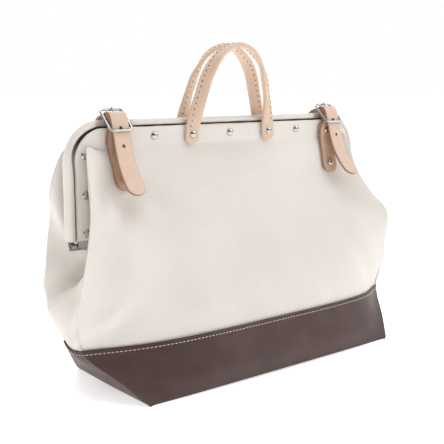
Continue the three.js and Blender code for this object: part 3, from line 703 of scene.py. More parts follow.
@dataclass(frozen=True)
class VinylFinish(Finish):
    """Dark brown coated cloth with a faint pebble.

    Attributes:
        dark: Colour in the hollows of the pebble.
        light: Colour of the worn, paler patches.
    """

    dark: Triple = (0.062, 0.033, 0.030)
    light: Triple = (0.086, 0.049, 0.045)

    def paint(self, board: NodeBoard) -> None:
        """Lays out pebble, slight scuffs and a soft gloss."""
        here = board.place("Object")
        scuffs = board.blend(board.cloud(here, 26, 5), self.dark, self.light, 0.32, 0.7)
        gloss = board.span(board.cloud(here, 60, 4), 0.42, 0.6)
        board.coat(Base_Color=scuffs, Roughness=gloss, Specular_IOR_Level=0.36)
        board.raise_by(board.cloud(here, 38, 2), 0.12, 0.002)
        board.raise_by(board.cells(here, 620), 0.22, 0.0003)


@dataclass(frozen=True)
class LeatherFinish(Finish):
    """Natural vegetable-tanned leather.

    Attributes:
        deep: Colour of the deeper patches.
        pale: Colour of the paler patches.
        rough: Lowest and highest roughness.
    """

    deep: Triple = (0.70, 0.525, 0.41)
    pale: Triple = (0.745, 0.57, 0.45)
    rough: Pair = (0.42, 0.6)

    def paint(self, board: NodeBoard) -> None:
        """Lays out cloudy tan, pores and a faint grain."""
        here = board.place("Object")
        pores = board.cloud(here, 1500, 2)
        tan = board.blend(board.cloud(here, 42, 4), self.deep, self.pale, 0.3, 0.66)
        specks = board.blend(pores, (0.86, 0.8, 0.74), WHITE, 0.33, 0.48)
        gloss = board.span(board.cloud(here, 160, 3), *self.rough)
        board.coat(Base_Color=board.times(tan, specks, 0.7), Roughness=gloss, Specular_IOR_Level=0.4)
        board.raise_by(board.cells(here, 900), 0.16, 0.0002)
        board.raise_by(pores, 0.12, 0.0001)


@dataclass(frozen=True)
class MetalFinish(Finish):
    """Plated metal.

    Attributes:
        colour: Colour of the plating.
        rough: Lowest and highest roughness.
    """

    colour: Triple = (0.50, 0.495, 0.49)
    rough: Pair = (0.08, 0.18)

    def paint(self, board: NodeBoard) -> None:
        """Lays out faint handling marks in the gloss."""
        here = board.place("Object")
        dull = tuple(part * 0.86 for part in self.colour)
        plating = board.blend(board.cloud(here, 260, 4), dull, self.colour, 0.3, 0.6)
        gloss = board.span(board.cloud(here, 420, 3), *self.rough)
        board.coat(Base_Color=plating, Metallic=1.0, Roughness=gloss)
        board.raise_by(board.cloud(here, 500, 2), 0.05, 0.0002)


@dataclass(frozen=True)
class ThreadFinish(Finish):
    """Waxed sewing thread, or painted shade in the mouth of a stitch hole.

    Attributes:
        dark: Colour between the strands.
        light: Colour of the strands.
    """

    dark: Triple = (0.55, 0.5, 0.45)
    light: Triple = (0.82, 0.79, 0.74)

    def paint(self, board: NodeBoard) -> None:
        """Lays out fine strands."""
        strands = board.cloud(board.place("Object"), 2400, 2)
        board.coat(Base_Color=board.blend(strands, self.dark, self.light, 0.35, 0.6), Roughness=0.7)
        board.raise_by(strands, 0.2, 0.0001)


class Finishes:
    """Every material of the bag, each made once."""

    def __init__(self) -> None:
        """Makes the materials."""
        self.canvas = CanvasFinish().material("canvas_duck")
        self.vinyl = VinylFinish().material("brown_vinyl")
        self.strap = LeatherFinish().material("strap_leather")
        self.chape = LeatherFinish((0.50, 0.315, 0.215), (0.62, 0.425, 0.31)).material("buckle_strap_leather")
        self.handle = LeatherFinish((0.65, 0.475, 0.36), (0.73, 0.555, 0.43)).material("handle_leather")
        burnished = LeatherFinish((0.30, 0.165, 0.115), (0.42, 0.25, 0.18), (0.5, 0.7))
        self.edge = burnished.material("leather_edge")
        self.steel = MetalFinish((0.44, 0.43, 0.42), (0.16, 0.3)).material("plated_steel")
        self.nickel = MetalFinish().material("bright_nickel")
        self.seam = ThreadFinish().material("seam_thread")
        # Painted shade: near-black blobs stand for the shade inside the handles' stitch holes.
        self.awl = ThreadFinish((0.05, 0.028, 0.02), (0.09, 0.05, 0.035)).material("painted_hole_shade")


def settle(
    piece: Piece, slot: str, nodes: Sequence[str], *materials: Material
) -> Piece:
    """Dresses a piece, lets it ride on the bag and lets it stand for its solids.

    Args:
        piece: Piece in place.
        slot: Material slot of the record; not used.
        nodes: Names of the solids that it stands for.
        materials: Materials, in the order of the piece's slots.
    """
    if not piece.data.materials:
        for material in materials:
            piece.data.materials.append(material)
    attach(piece, "root")
    if nodes:
        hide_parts(*nodes)
    LOG.info("%s: %d faces", piece.name, len(piece.data.polygons))
    return piece


def dressed(
    name: str, bm: BMesh, slot: str, nodes: Sequence[str], material: Material, sharp: float = SHARP
) -> Piece:
    """Piece of one material, made from its mesh and settled."""
    return settle(finished_mesh(name, bm, sharp), slot, nodes, material)


def thicken(piece: Piece, thickness: float) -> None:
    """Gives a skin its thickness on the inside."""
    wall = piece.modifiers.new("wall", "SOLIDIFY")
    wall.thickness = thickness * MM
    wall.offset = -1
    wall.use_even_offset = False


def add_rod(bm: BMesh, start: Vector, end: Vector, radius: float, tip: float | None = None) -> None:
    """Adds a round rod from start to end, with a radius of its own at the end where one is given."""
    along = end - start
    spot = Matrix.Translation((start + end) / 2) @ along.to_track_quat("Z", "Y").to_matrix().to_4x4()
    bmesh.ops.create_cone(
        bm, cap_ends=True, cap_tris=False, segments=20, radius1=radius,
        radius2=radius if tip is None else tip, depth=along.length, matrix=spot,
    )


@dataclass(frozen=True)
class Stitch:
    """Row of stitches, or of the holes between them.

    Attributes:
        pitch: Distance between stitches.
        length: Length of one stitch.
        radius: Radius of the thread.
        lift: Height of the middle of the thread over the surface.
        start: Place of the first stitch, in pitches.
    """

    pitch: float
    length: float
    radius: float
    lift: float = 0.0
    start: float = 0.5

    def row(self, line: Array, out: Array) -> BMesh:
        """Mesh of the stitches along a line on a surface, given the outward directions there."""
        lengths = run_lengths(line)
        count = int(lengths[-1] / self.pitch)
        bm = bmesh.new()
        for place in (np.arange(count) + self.start) * lengths[-1] / count:
            middle, ahead, behind, up = (
                Vector([np.interp(s, lengths, rows[:, k]) for k in range(3)])
                for s, rows in ((place, line), (place + 0.5, line), (place - 0.5, line), (place, out))
            )
            along = (ahead - behind).normalized()
            side = along.cross(up).normalized()
            turn = Matrix((side, along.cross(side), along)).transposed().to_4x4()
            spot = Matrix.Translation(middle + up.normalized() * self.lift) @ turn
            size = Matrix.Diagonal((self.radius, self.radius, self.length / 2, 1))
            bmesh.ops.create_icosphere(bm, subdivisions=1, radius=1, matrix=spot @ size)
        return bm


@dataclass
class CanvasBody:
    """Canvas tube of the bag, from under the top of the vinyl to under the hems.

    Attributes:
        shape: Outer skin of the bag.
        lap: How far the canvas goes down inside the vinyl, in levels.
        rows: Rings for each level.
        wave: Height and length of the unevenness of the cloth.
        edge_rows: Rings of the edge under the hems, in parts of its width.
        calm_top: Levels under the mouth over which the unevenness sets in.
        calm_low: Levels over the vinyl over which it sets in.
        drawn_in: Levels over the vinyl over which the cloth comes out from behind it.
        sunk: How much further in the lower edge lies.
    """

    shape: BagShape
    lap: float = 0.25
    rows: int = 12
    wave: Pair = (0.9, 46.0)
    edge_rows: tuple[float, ...] = (0.25, 0.6, 1.0)
    calm_top: Pair = (0.1, 1.2)
    calm_low: float = 0.8
    drawn_in: Pair = (0.05, 1.1)
    sunk: float = 1.2

    def build(self, finishes: Finishes) -> Piece:
        """Lofts the cloth and dresses it."""
        span = MOUTH_LEVEL - VINYL_LEVEL + self.lap
        levels = np.linspace(VINYL_LEVEL - self.lap, MOUTH_LEVEL, round(span * self.rows) + 1)
        levels = np.concatenate([levels, MOUTH_LEVEL + np.array(self.edge_rows)])
        points, out = self.shape.skin(levels)
        fade = smoothstep(MOUTH_LEVEL - levels, *self.calm_top)
        fade = (fade * smoothstep(levels, VINYL_LEVEL, VINYL_LEVEL + self.calm_low))[:, None, None]
        points = points + fade * (ripple(points, out, *self.wave) - points)
        low, high = self.drawn_in
        tuck = (VINYL + GAP) * (1 - smoothstep(levels, VINYL_LEVEL + low, VINYL_LEVEL + high))
        tuck += self.sunk * (1 - smoothstep(levels, VINYL_LEVEL - self.lap, VINYL_LEVEL))
        points = points - out * tuck[:, None, None]
        piece = finished_mesh("canvas_skin", lofted(points), 180)
        thicken(piece, CANVAS)
        return settle(piece, "canvas", ["canvas_body", "canvas_back"], finishes.canvas)


@dataclass
class VinylBase:
    """Vinyl boot with a flat floor and a stitched top edge.

    Attributes:
        shape: Outer skin of the bag.
        rows: Rings from the floor to the top edge.
        foot: Radius between the wall and the floor.
        crowd: Power that crowds the rings towards the floor.
        wave: Height and length of the unevenness of the vinyl.
        calm_low: Levels over which the unevenness sets in over the floor.
        calm_top: Levels under the top edge over which it sets in.
        seam_drop: Distance of the seam below the top edge, in levels.
        thread: Stitches of the seam.
    """

    shape: BagShape
    rows: int = 46
    foot: float = 3.5
    crowd: float = 1.35
    wave: Pair = (0.5, 60.0)
    calm_low: Pair = (0.15, 0.6)
    calm_top: Pair = (0.5, 0.9)
    seam_drop: float = 0.115
    thread: Stitch = Stitch(4.3, 3.5, 0.42, 0.25)

    def _wall(self, levels: Array) -> tuple[Array, Array]:
        """Rings of the wall with the turn into the floor, and the outward directions."""
        points, out = self.shape.skin(levels)
        level_out = unit(out * (1, 1, 0))
        rise = np.clip(self.foot - points[..., 2], 0, self.foot)
        inset = self.foot - np.sqrt(self.foot**2 - rise**2)
        return points - level_out * inset[..., None], out

    def build(self, finishes: Finishes) -> Piece:
        """Lofts the boot and dresses it."""
        levels = VINYL_LEVEL * np.linspace(0, 1, self.rows) ** self.crowd
        points, out = self._wall(levels)
        fade = smoothstep(levels, *self.calm_low) * smoothstep(VINYL_LEVEL - levels, *self.calm_top)
        points = points + fade[:, None, None] * (ripple(points, out, *self.wave) - points)
        bm = lofted(points)
        floor = [edge for edge in bm.edges if edge.is_boundary and edge.verts[0].co.z < 1]
        bmesh.ops.holes_fill(bm, edges=floor, sides=0)
        face_out(bm)
        piece = finished_mesh("vinyl_boot", bm, 60)
        thicken(piece, VINYL)
        return settle(piece, "vinyl", ["vinyl_base"], finishes.vinyl)

    def sew(self, finishes: Finishes) -> Piece:
        """Lays the stitches of the seam round the top edge."""
        points, out = self._wall(np.array([VINYL_LEVEL - self.seam_drop]))
        line, facing = (np.concatenate([rows[0], rows[0][:1]]) for rows in (points, out))
        return dressed("base_seam", self.thread.row(line, facing), "canvas", [], finishes.seam)


@dataclass
class MouthHem:
    """Canvas sleeve folded round one bar of the mouth.

    Attributes:
        rail: Half of the mouth frame.
        shuts_on: Other half, behind whose edge the inner face of this one is darkened with painted shade.
        roll: Width of the roll along the edge.
        bulge: How far the roll stands out over the inner face.
        pressed: How far the inner face lies under the thickness of the hem.
        strapped: X of the straps that press the roll flat.
        strap_x: Distances from a strap between which the roll comes up again.
        fuller: How much wider and higher the roll is on the legs.
        fuller_to: Distance from the edge at which the widening ends.
        legs_z: Heights between which the roll grows down a leg.
        shade_start: How far inside the edge of the other hem the painted shade starts, along the top and on a
            leg.
        shade_over: Distances from that start over which the painted shade sets in.
        shade_z: Heights between which the painted shade sets in on a leg.
        uneven: Height and length of the unevenness of the sleeve.
        LEG_CUTS, BEND_STEPS, TOP_CUTS, ROLL_STEPS: Rings along a leg, round a corner, along the top and
            round the roll.
    """

    rail: Rail
    shuts_on: Rail | None = None
    roll: float = HEM_THICK
    bulge: float = 0.0
    pressed: float = 0.5
    strapped: tuple[float, ...] = ()
    strap_x: Pair = (15.0, 25.0)
    fuller: Pair = (0.0, 0.0)
    fuller_to: float = 14.0
    legs_z: Pair = (218.0, 250.0)
    shade_start: Pair = (-0.9, -1.4)
    shade_over: Pair = (-1.2, 0.4)
    shade_z: Pair = (228.0, 256.0)
    uneven: Pair = (0.5, 30.0)

    LEG_CUTS = 18
    BEND_STEPS = 14
    TOP_CUTS = 70
    ROLL_STEPS = 20

    def _profile(self) -> list[Vector]:
        """Outline of the sleeve at the foot of the left leg, a roll over a pressed flat."""
        rail = self.rail
        flat = HEM_THICK - self.pressed
        half = (HEM_THICK + self.bulge) / 2
        last = math.tau - math.acos(1 - flat / half)
        outline = [(HEM_WIDTH - 4 * k, 0.0) for k in range(3)]
        for step in range(self.ROLL_STEPS + 1):
            angle = last * step / self.ROLL_STEPS
            outline.append((self.roll / 2 * (1 - math.sin(angle)), half * (1 - math.cos(angle))))
        start = outline[-1][0] + 0.5
        outline += [(start + k, flat) for k in range(int(HEM_WIDTH - 1 - start))]
        outline.append((HEM_WIDTH, flat))
        return [Vector((-rail.half + x, rail.face + rail.away * y, rail.foot)) for x, y in outline]

    def _ease(self, point: Vector) -> Vector:
        """How the roll gives at a point of the sleeve, flat under the straps and fuller on the legs."""
        rail = self.rail
        wider, higher = self.fuller
        proud = max((point.y - rail.face) * rail.away - (HEM_THICK - self.pressed), 0.0)
        gaps = [abs(point.x - x) for x in self.strapped]
        under = max((1 - float(smoothstep(gap, *self.strap_x)) for gap in gaps), default=0.0)
        leg = 1 - float(smoothstep(point.z, *self.legs_z))
        rise = proud * (leg * higher / max(self.bulge + self.pressed, 1e-6) - under)
        across = rail.half - abs(point.x)
        ends = 1 - float(smoothstep(across, self.roll, self.fuller_to))
        spread = wider * leg * min(across / self.roll, 1) * ends
        return Vector((-math.copysign(spread, point.x), rail.away * rise, 0))

    def _soil(self, point: Vector) -> float:
        """Share of painted shade at a point of the sleeve, from 0 on unshaded cloth to 1 where the other hem
        shuts in front of it.
        """
        rail, other = self.rail, self.shuts_on
        inside = (point.y - rail.face) * rail.away > HEM_THICK / 2
        if other is None or not inside:
            return 0.0
        x = abs(point.x) - (other.half - other.corner)
        z = point.z - (other.top - other.corner)
        reach = math.hypot(max(x, 0), max(z, 0)) if max(x, z) > 0 else max(x, z)
        turn = math.atan2(max(x, 0), max(z, 1e-6)) / (math.pi / 2)
        start = self.shade_start[0] + (self.shade_start[1] - self.shade_start[0]) * turn
        low, high = self.shade_over
        # Painted shade on the inner face, deepest behind the edge of the other hem.
        behind_edge = smoothstep(other.corner - reach, start + low, start + high)
        return float(behind_edge * smoothstep(point.z, *self.shade_z))

    def build(self, finishes: Finishes) -> Piece:
        """Draws the outline up one leg, along the top and down the other leg."""
        rail = self.rail
        bm = bmesh.new()
        run = LoopRun(bm, self._profile())
        bend_z = rail.top - rail.corner
        shoulder = rail.half - rail.corner
        leg = Vector((0, 0, bend_z - rail.foot))
        axis = Vector((0, 1, 0))
        run.straight(leg, self.LEG_CUTS)
        run.arc(Vector((-shoulder, 0, bend_z)), axis, 90, self.BEND_STEPS)
        run.straight(Vector((2 * shoulder, 0, 0)), self.TOP_CUTS)
        run.arc(Vector((shoulder, 0, bend_z)), axis, 90, self.BEND_STEPS)
        run.straight(-leg, self.LEG_CUTS)
        close_ends(bm)
        face_out(bm)
        flat_lay(bm)
        soil = bm.verts.layers.float.new("soil")
        height, length = self.uneven
        for vert in bm.verts:
            # Painted shade in the slit behind the other hem.
            vert[soil] = self._soil(vert.co)
            vert.co += self._ease(vert.co)
            shift = noise.noise(vert.co / length) * height
            vert.co -= vert.normal * abs(shift)
        return dressed(f"{rail.word}_hem_sleeve", bm, "canvas", [f"{rail.word}_hem"], finishes.canvas, 50)


class MouthFrame:
    """Steel bars and hinge pins, which keep the shape of their solids."""

    NODES = ("front_rail", "back_rail", "hinge_pin_left", "hinge_pin_right")
    BREAK_EDGE = 0.4
    WELD = 0.01

    def dress(self, finishes: Finishes) -> None:
        """Gives the solids their plating and broken edges."""
        for name in self.NODES:
            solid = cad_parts[name]
            solid.data.materials.clear()
            solid.data.materials.append(finishes.steel)
            solid.modifiers.new("joined", "WELD").merge_threshold = self.WELD * MM
            edges = solid.modifiers.new("edges", "BEVEL")
            edges.width = self.BREAK_EDGE * MM
            edges.segments = 2
            edges.limit_method = "ANGLE"
            edges.angle_limit = math.radians(SHARP)
            LOG.info("%s: plated", name)


@dataclass
class RolledHandle:
    """Leather handle: flat tabs, and a rolled grip sewn along its outer edge.

    Attributes:
        rail: Half of the mouth frame that carries it.
        rows: Height, half spread, lean, half width and half thickness from the tab up to the top.
        turn: Turn of the face outward on the legs and at the top, in degrees.
        grip_z: Heights between which a tab becomes the grip.
        turn_z: Heights between which the grip turns on to the top.
        level_z: Heights between which the two handles come level.
        stand_off: How far the grip stands in front of the tabs.
        sewn_at: Place of the seam over the half width, from the middle out.
        square: Power that squares the section.
        thinned: Share by which the sewn edge is thinner than the roll.
        thin_at: Places over the half width between which it thins.
        groove: Depth and width of the groove of the seam, over the half thickness and width.
        sunk: Share of the half thickness at which the thread lies.
        thread: Stitches of the seam.
        awl: Holes between them, laid as blobs that carry painted shade.
        around: Points round a section.
        steps: Sections for each row.
    """

    rail: Rail
    rows: tuple[tuple[float, float, float, float, float], ...] = (
        (246.5, 55.3, 0, 4.5, 2),
        (248.5, 55.3, 0, 7.6, 2),
        (252, 55.3, 0, 9.2, 2),
        (260, 55.2, 0, 9.2, 2),
        (268, 54.2, 0.5, 8.8, 2.2),
        (284, 51.4, 2, 8, 2.7),
        (301, 47.2, 3.6, 7.5, 2.9),
        (317, 42.5, 5.2, 7.3, 2.9),
        (330, 36.2, 6.6, 7.2, 2.9),
        (341, 27.8, 7.1, 7.2, 2.9),
        (350, 15.6, 8.2, 7.2, 2.9),
        (354.3, 0, 8.8, 7.2, 2.9),
    )
    turn: Pair = (28.0, 84.0)
    grip_z: Pair = (262.0, 300.0)
    turn_z: Pair = (312.0, 352.0)
    level_z: Pair = (246.0, 335.0)
    stand_off: float = 2.5
    sewn_at: float = 0.45
    square: float = 0.62
    thinned: float = 0.22
    thin_at: Pair = (-0.1, 0.35)
    groove: Pair = (0.1, 0.16)
    sunk: float = 0.96
    thread: Stitch = Stitch(6.3, 4.6, 0.5, -0.1)
    awl: Stitch = Stitch(6.3, 1.8, 0.85, 0.0, 0.02)
    around: int = 32
    steps: int = 5

    def _stations(self) -> dict[str, Array]:
        """Middle line, directions and sizes at each station of the arch."""
        rise = self.rail.top - FRONT_RAIL.top
        tab_y = self.rail.face - self.rail.away * (GAP + 2)
        table = np.array(self.rows)
        sign = np.concatenate([-np.ones(len(table)), np.ones(len(table) - 1)])
        table = np.concatenate([table, table[-2::-1]])
        z, half, lean, wide, thick = table.T
        grip = smoothstep(z, *self.grip_z)
        twist = self.turn[0] * grip + (self.turn[1] - self.turn[0]) * smoothstep(z, *self.turn_z)
        lifted = z + rise * (1 - smoothstep(z, *self.level_z))
        y = tab_y - self.rail.away * self.stand_off * grip
        middle = np.stack([sign * half + lean, y, lifted], axis=-1)
        at = np.linspace(0, len(table) - 1, (len(table) - 1) * self.steps + 1)
        fine = through(middle, at)
        sizes = through(np.stack([wide, thick, grip, twist], axis=-1), at)
        along = unit(np.gradient(fine, axis=0) * (1, 0, 1))
        turn = np.radians(sizes[:, 3:])
        outward = np.stack([-along[:, 2], np.zeros(len(at)), along[:, 0]], axis=-1)
        face = np.array((0, -self.rail.away, 0)) * np.cos(turn) + outward * np.sin(turn)
        return {
            "middle": fine, "along": along, "face": face, "across": np.cross(along, face),
            "wide": sizes[:, 0], "thick": sizes[:, 1], "grip": np.clip(sizes[:, 2], 0, 1),
        }

    def _section(self, place: Array, grip: float, inner: float) -> tuple[Array, Array]:
        """Places round a section over its half width and thickness, thin at the seam and round at the roll.

        Args:
            place: Angles round the section.
            grip: Share of the rolled form, from 0 at a tab to 1 in the grip.
            inner: Sign of the width direction towards the inside of the arch.
        """
        wide, thick = (np.sign(part) * np.abs(part) ** self.square for part in (np.cos(place), np.sin(place)))
        outer = -wide * inner
        depth, width = self.groove
        thin = 1 - grip * self.thinned * smoothstep(outer, *self.thin_at)
        groove = grip * depth * np.exp(-(((outer - self.sewn_at) / width) ** 2))
        return wide, thick * (thin - groove)

    def build(self, finishes: Finishes) -> Piece:
        """Lofts the handle and dresses it."""
        s = self._stations()
        place = 2 * math.pi * (np.arange(self.around) + 0.5) / self.around
        inner = self.rail.away
        rings = []
        for i in range(len(s["middle"])):
            wide, thick = self._section(place, float(s["grip"][i]), inner)
            ring = s["middle"][i] + np.outer(wide * s["wide"][i], s["across"][i])
            rings.append(ring + np.outer(thick * s["thick"][i], s["face"][i]))
        bm = lofted(np.array(rings), True)
        word = f"{self.rail.word}_handle"
        return dressed(f"{word}_roll", bm, "leather", [word], finishes.handle, 50)

    def sew(self, finishes: Finishes) -> None:
        """Lays the stitches, and the awl holes as blobs of painted shade, on both faces."""
        s = self._stations()
        kept = s["grip"] > 0.02
        outer = -self.rail.away * self.sewn_at
        seat = s["thick"] * (1 - (self.thinned + self.groove[0]) * s["grip"]) * self.sunk
        for word, side in (("outer", 1), ("inner", -1)):
            line = s["middle"] + s["across"] * (outer * s["wide"])[:, None] + side * s["face"] * seat[:, None]
            thread = finishes.handle if side > 0 else finishes.seam
            rows = (("stitches", self.thread, thread), ("holes", self.awl, finishes.awl))
            for kind, stitch, finish in rows:
                bm = stitch.row(line[kept], side * s["face"][kept])
                dressed(f"{self.rail.word}_handle_{word}_{kind}", bm, "leather", [], finish)


@dataclass
class BuckledStrap:
    """One strap over the mouth: buckle strap, punched billet, buckle and prong.

    Attributes:
        side: End of the bag.
        x: Place of the strap along the mouth.
        at_buckle: Sideways shift of the billet at the buckle.
        at_tip: Sideways shift of the billet at its tip.
        at_back: Sideways shift of the billet at the back.
        lean: Sideways lean of the buckle strap at its lower end.
        half: Half width of the strap.
        bar: Radius of the buckle's wire.
        buckle_half: Half width of the buckle, to the middle of its wire.
        buckle_low, buckle_mid, buckle_high: Y and Z of its lower, middle and upper bars.
        buckle_corner: Radius of its corners.
        prong_tip: Y and Z of the tip of the prong.
        prong_radius: Radius of the prong.
        prong_eye: Outer radius of its eye.
        prong_half: Half width of its eye.
        prong_room: How far the slot for the eye reaches round it.
        holes_z: Heights of the free holes of the billet.
        hole: Radius of those holes.
        chape_line, billet_line: Middle lines in Y and Z, from the free end on.
        buckled: Points of the billet's line at the buckle, and from which it shifts to its back.
        settled: Part of the billet's length at which it has its shift at the back.
        leant_to: Part of the buckle strap's length over which it leans.
        shift_in, shift_out: Parts of that length over which it shifts to the buckle and back.
        rim: Radius of the edges of the leather.
        slim: How much narrower the billet is on each side.
        EDGE: Angles of the points round an edge of the leather.
        FLAT: Points over a face of the leather.
    """

    EDGE = (60, 20, -20, -60)
    FLAT = 7

    side: Side
    x: float
    at_buckle: float
    at_tip: float
    at_back: float
    lean: float
    half: float = 11.4
    bar: float = 1.5
    buckle_half: float = 13.1
    buckle_low: Pair = (8.5, 264.5)
    buckle_mid: Pair = (21.75, 275.7)
    buckle_high: Pair = (30.2, 285)
    buckle_corner: float = 4.0
    prong_tip: Pair = (28.4, 287.7)
    prong_radius: float = 1.1
    prong_eye: float = 3.5
    prong_half: float = 1.6
    prong_room: float = 2.6
    holes_z: tuple[float, ...] = (266.5, 248)
    hole: float = 2.0
    chape_line: tuple[Pair, ...] = (
        (4.2, 203), (6, 208), (8.2, 214.5), (11.4, 230), (14, 243), (14.5, 250), (14.5, 259), (14.7, 264.5),
        (15.6, 268.2), (17.3, 272.6), (19, 277.2), (20.9, 278.8), (23.3, 278.5), (24.8, 276.5), (24.4, 274),
        (20.3, 270.2), (18.1, 266.6), (17.4, 262.5), (17.4, 256), (17.4, 249.5),
    )
    billet_line: tuple[Pair, ...] = (
        (-19, 201), (-14.5, 206), (-9, 213), (-2.5, 223), (3.4, 236), (7.4, 249), (9.4, 258), (11.6, 264.3),
        (12.8, 269.6), (15.7, 277.9), (19.3, 281.7), (24.6, 281.8), (28.8, 279.6), (32.8, 279), (36.4, 276.8),
        (37, 272.5), (35.2, 268.6), (34.1, 264.8), (34.1, 255.2), (36.2, 248.5), (39.8, 238), (43.4, 222.5),
        (45, 216), (46.4, 211),
    )
    buckled: Pair = (6.5, 13.0)
    settled: float = 0.7
    leant_to: float = 0.27
    shift_in: Pair = (0.26, 0.44)
    shift_out: Pair = (0.8, 0.95)
    rim: float = 0.9
    slim: float = 0.9

    @property
    def middle(self) -> float:
        """X of the buckle's middle."""
        return self.x + self.at_buckle

    def _at(self, place: Pair) -> Vector:
        """Point in the middle of the buckle, at a place in Y and Z."""
        return Vector((self.middle, *place))

    @property
    def prong_root(self) -> Vector:
        """Point where the prong leaves its eye."""
        return self._at(self.buckle_mid) + Vector((0, 0, self.prong_eye - 1))

    def _billet_shift(self, part: Array) -> Array:
        """Sideways shift of the billet along its length, from the tip to the back."""
        last = len(self.billet_line) - 1
        buckle_at, back_from = (point / last for point in self.buckled)
        front = self.at_buckle + (self.at_tip - self.at_buckle) * np.maximum(1 - part / buckle_at, 0) ** 1.5
        back = self.at_buckle + (self.at_back - self.at_buckle) * smoothstep(part, back_from, self.settled)
        return np.where(part < buckle_at, front, back)

    def _chape_shift(self, part: Array) -> Array:
        """Sideways shift of the buckle strap along its length: its lean, and then that of the buckle."""
        leant = self.lean * (1 - smoothstep(part, 0, self.leant_to))
        shifted = smoothstep(part, *self.shift_in) * (1 - smoothstep(part, *self.shift_out))
        return leant + self.at_buckle * shifted

    def _ribbon(
        self, line: Sequence[Pair], half: float, tip: float,
        shift: Callable[[Array], Array],
    ) -> BMesh:
        """Leather ribbon along a line in Y and Z with a rounded free end.

        Args:
            line: Middle line from the free end on.
            half: Half width.
            tip: Length of the rounded end.
            shift: Sideways shift as a function of the part of the length.

        Returns:
            The mesh, whose edges take the second material.
        """
        last = len(line) - 1
        at = np.concatenate([np.linspace(0, 0.9, 12) ** 1.5, np.linspace(1, last, last * 5)])
        middle = through(line, at)
        along = unit(np.gradient(through(line, at), at, axis=0))
        out = np.stack([-along[:, 1], along[:, 0]], axis=-1)
        lengths = run_lengths(middle)
        near = np.clip(1 - (lengths + 0.25) / tip, 0, 1)
        widths = half * np.maximum((1 - near**2.3) ** 0.5, 0.12)
        rings = []
        for i, part in enumerate(at / last):
            rim = min(self.rim, widths[i] * 0.6)
            flat = np.linspace(-1, 1, self.FLAT) * (widths[i] - rim)
            arc = np.radians(self.EDGE)
            face = np.ones(self.FLAT)
            bulge = widths[i] - rim + rim * np.cos(arc)
            over = np.concatenate([flat, bulge, flat[::-1], -bulge])
            thick = np.concatenate([face, np.sin(arc), -face, -np.sin(arc)]) * LEATHER / 2
            ring = np.empty((len(over), 3))
            ring[:, 0] = self.x + shift(np.array(part)) + over
            ring[:, 1:] = middle[i] + np.outer(thick, out[i])
            rings.append(ring)
        half_round = self.FLAT + len(self.EDGE)
        edge = range(self.FLAT - 1, half_round)
        return lofted(np.array(rings), True, [*edge, *(column + half_round for column in edge)])

    def _leather(
        self, names: tuple[str, str], ribbon: BMesh, punch: BMesh, finishes: Finishes, face: Material
    ) -> Piece:
        """Punched strap, given the names of the piece and of its solid, and the finish of its faces."""
        piece = finished_mesh(f"{names[0]}_{self.side.word}", ribbon)
        for material in (face, finishes.edge):
            piece.data.materials.append(material)
        punched(piece, punch, finishes.edge)
        return settle(piece, "leather", [f"{names[1]}_{self.side.word}"], face, finishes.edge)

    def build_chape(self, finishes: Finishes) -> Piece:
        """Buckle strap, folded round the middle bar, with its slot for the prong."""
        ribbon = self._ribbon(self.chape_line, self.half, 9, self._chape_shift)
        slot = bmesh.new()
        reach = Vector((self.prong_half + GAP, 0, 0))
        mid = self._at(self.buckle_mid)
        add_rod(slot, mid - reach, mid + reach, self.prong_eye + self.prong_room)
        return self._leather(("buckle_strap", "chape"), ribbon, slot, finishes, finishes.chape)

    def build_billet(self, finishes: Finishes) -> Piece:
        """Punched strap from the back of the bag, through the buckle and down the front."""
        ribbon = self._ribbon(self.billet_line, self.half - self.slim, 10, self._billet_shift)
        at = np.linspace(0, len(self.billet_line) - 1, 400)
        line = through(self.billet_line, at)
        shift = self._billet_shift(at / at[-1])
        punch = bmesh.new()
        for z in self.holes_z:
            i = int(np.argmax(line[:, 1] > z))
            along = unit(line[i + 1] - line[i - 1])
            out = Vector((0, -along[1], along[0])) * 4
            middle = Vector((self.x + shift[i], *line[i]))
            add_rod(punch, middle - out, middle + out, self.hole)
        add_rod(punch, self.prong_root, self._at(self.prong_tip), self.prong_radius + 0.5)
        return self._leather(("punched_strap", "billet"), ribbon, punch, finishes, finishes.strap)

    def build_buckle(self, finishes: Finishes) -> Piece:
        """Rectangular wire buckle with its middle bar."""
        low = self._at(self.buckle_low)
        along = self._at(self.buckle_high) - low
        half, corner = self.buckle_half, self.buckle_corner
        side = along.length - 2 * corner
        lane = half - corner
        bm = bmesh.new()
        wire = [math.tau * k / 14 for k in range(14)]
        start = Vector((-half, corner, 0))
        run = LoopRun(bm, [start + self.bar * Vector((math.cos(a), 0, math.sin(a))) for a in wire])
        bends = ((-lane, corner + side), (lane, corner + side), (lane, corner), (-lane, corner))
        legs = ((0, side), (2 * lane, 0), (0, -side), (-2 * lane, 0))
        for leg, bend in zip(legs, bends):
            run.straight(Vector((*leg, 0)), 1)
            run.arc(Vector((*bend, 0)), Vector((0, 0, -1)), 90, 8)
        join(bm)
        ahead = along.normalized()
        turn = Matrix(((1, 0, 0), ahead, Vector((1, 0, 0)).cross(ahead))).transposed().to_4x4()
        bmesh.ops.transform(bm, matrix=Matrix.Translation(low) @ turn, verts=bm.verts)
        reach = Vector((half, 0, 0))
        mid = self._at(self.buckle_mid)
        add_rod(bm, mid - reach, mid + reach, self.bar)
        face_out(bm)
        word = f"buckle_{self.side.word}"
        return dressed(f"wire_{word}", bm, "steel", [word], finishes.nickel)

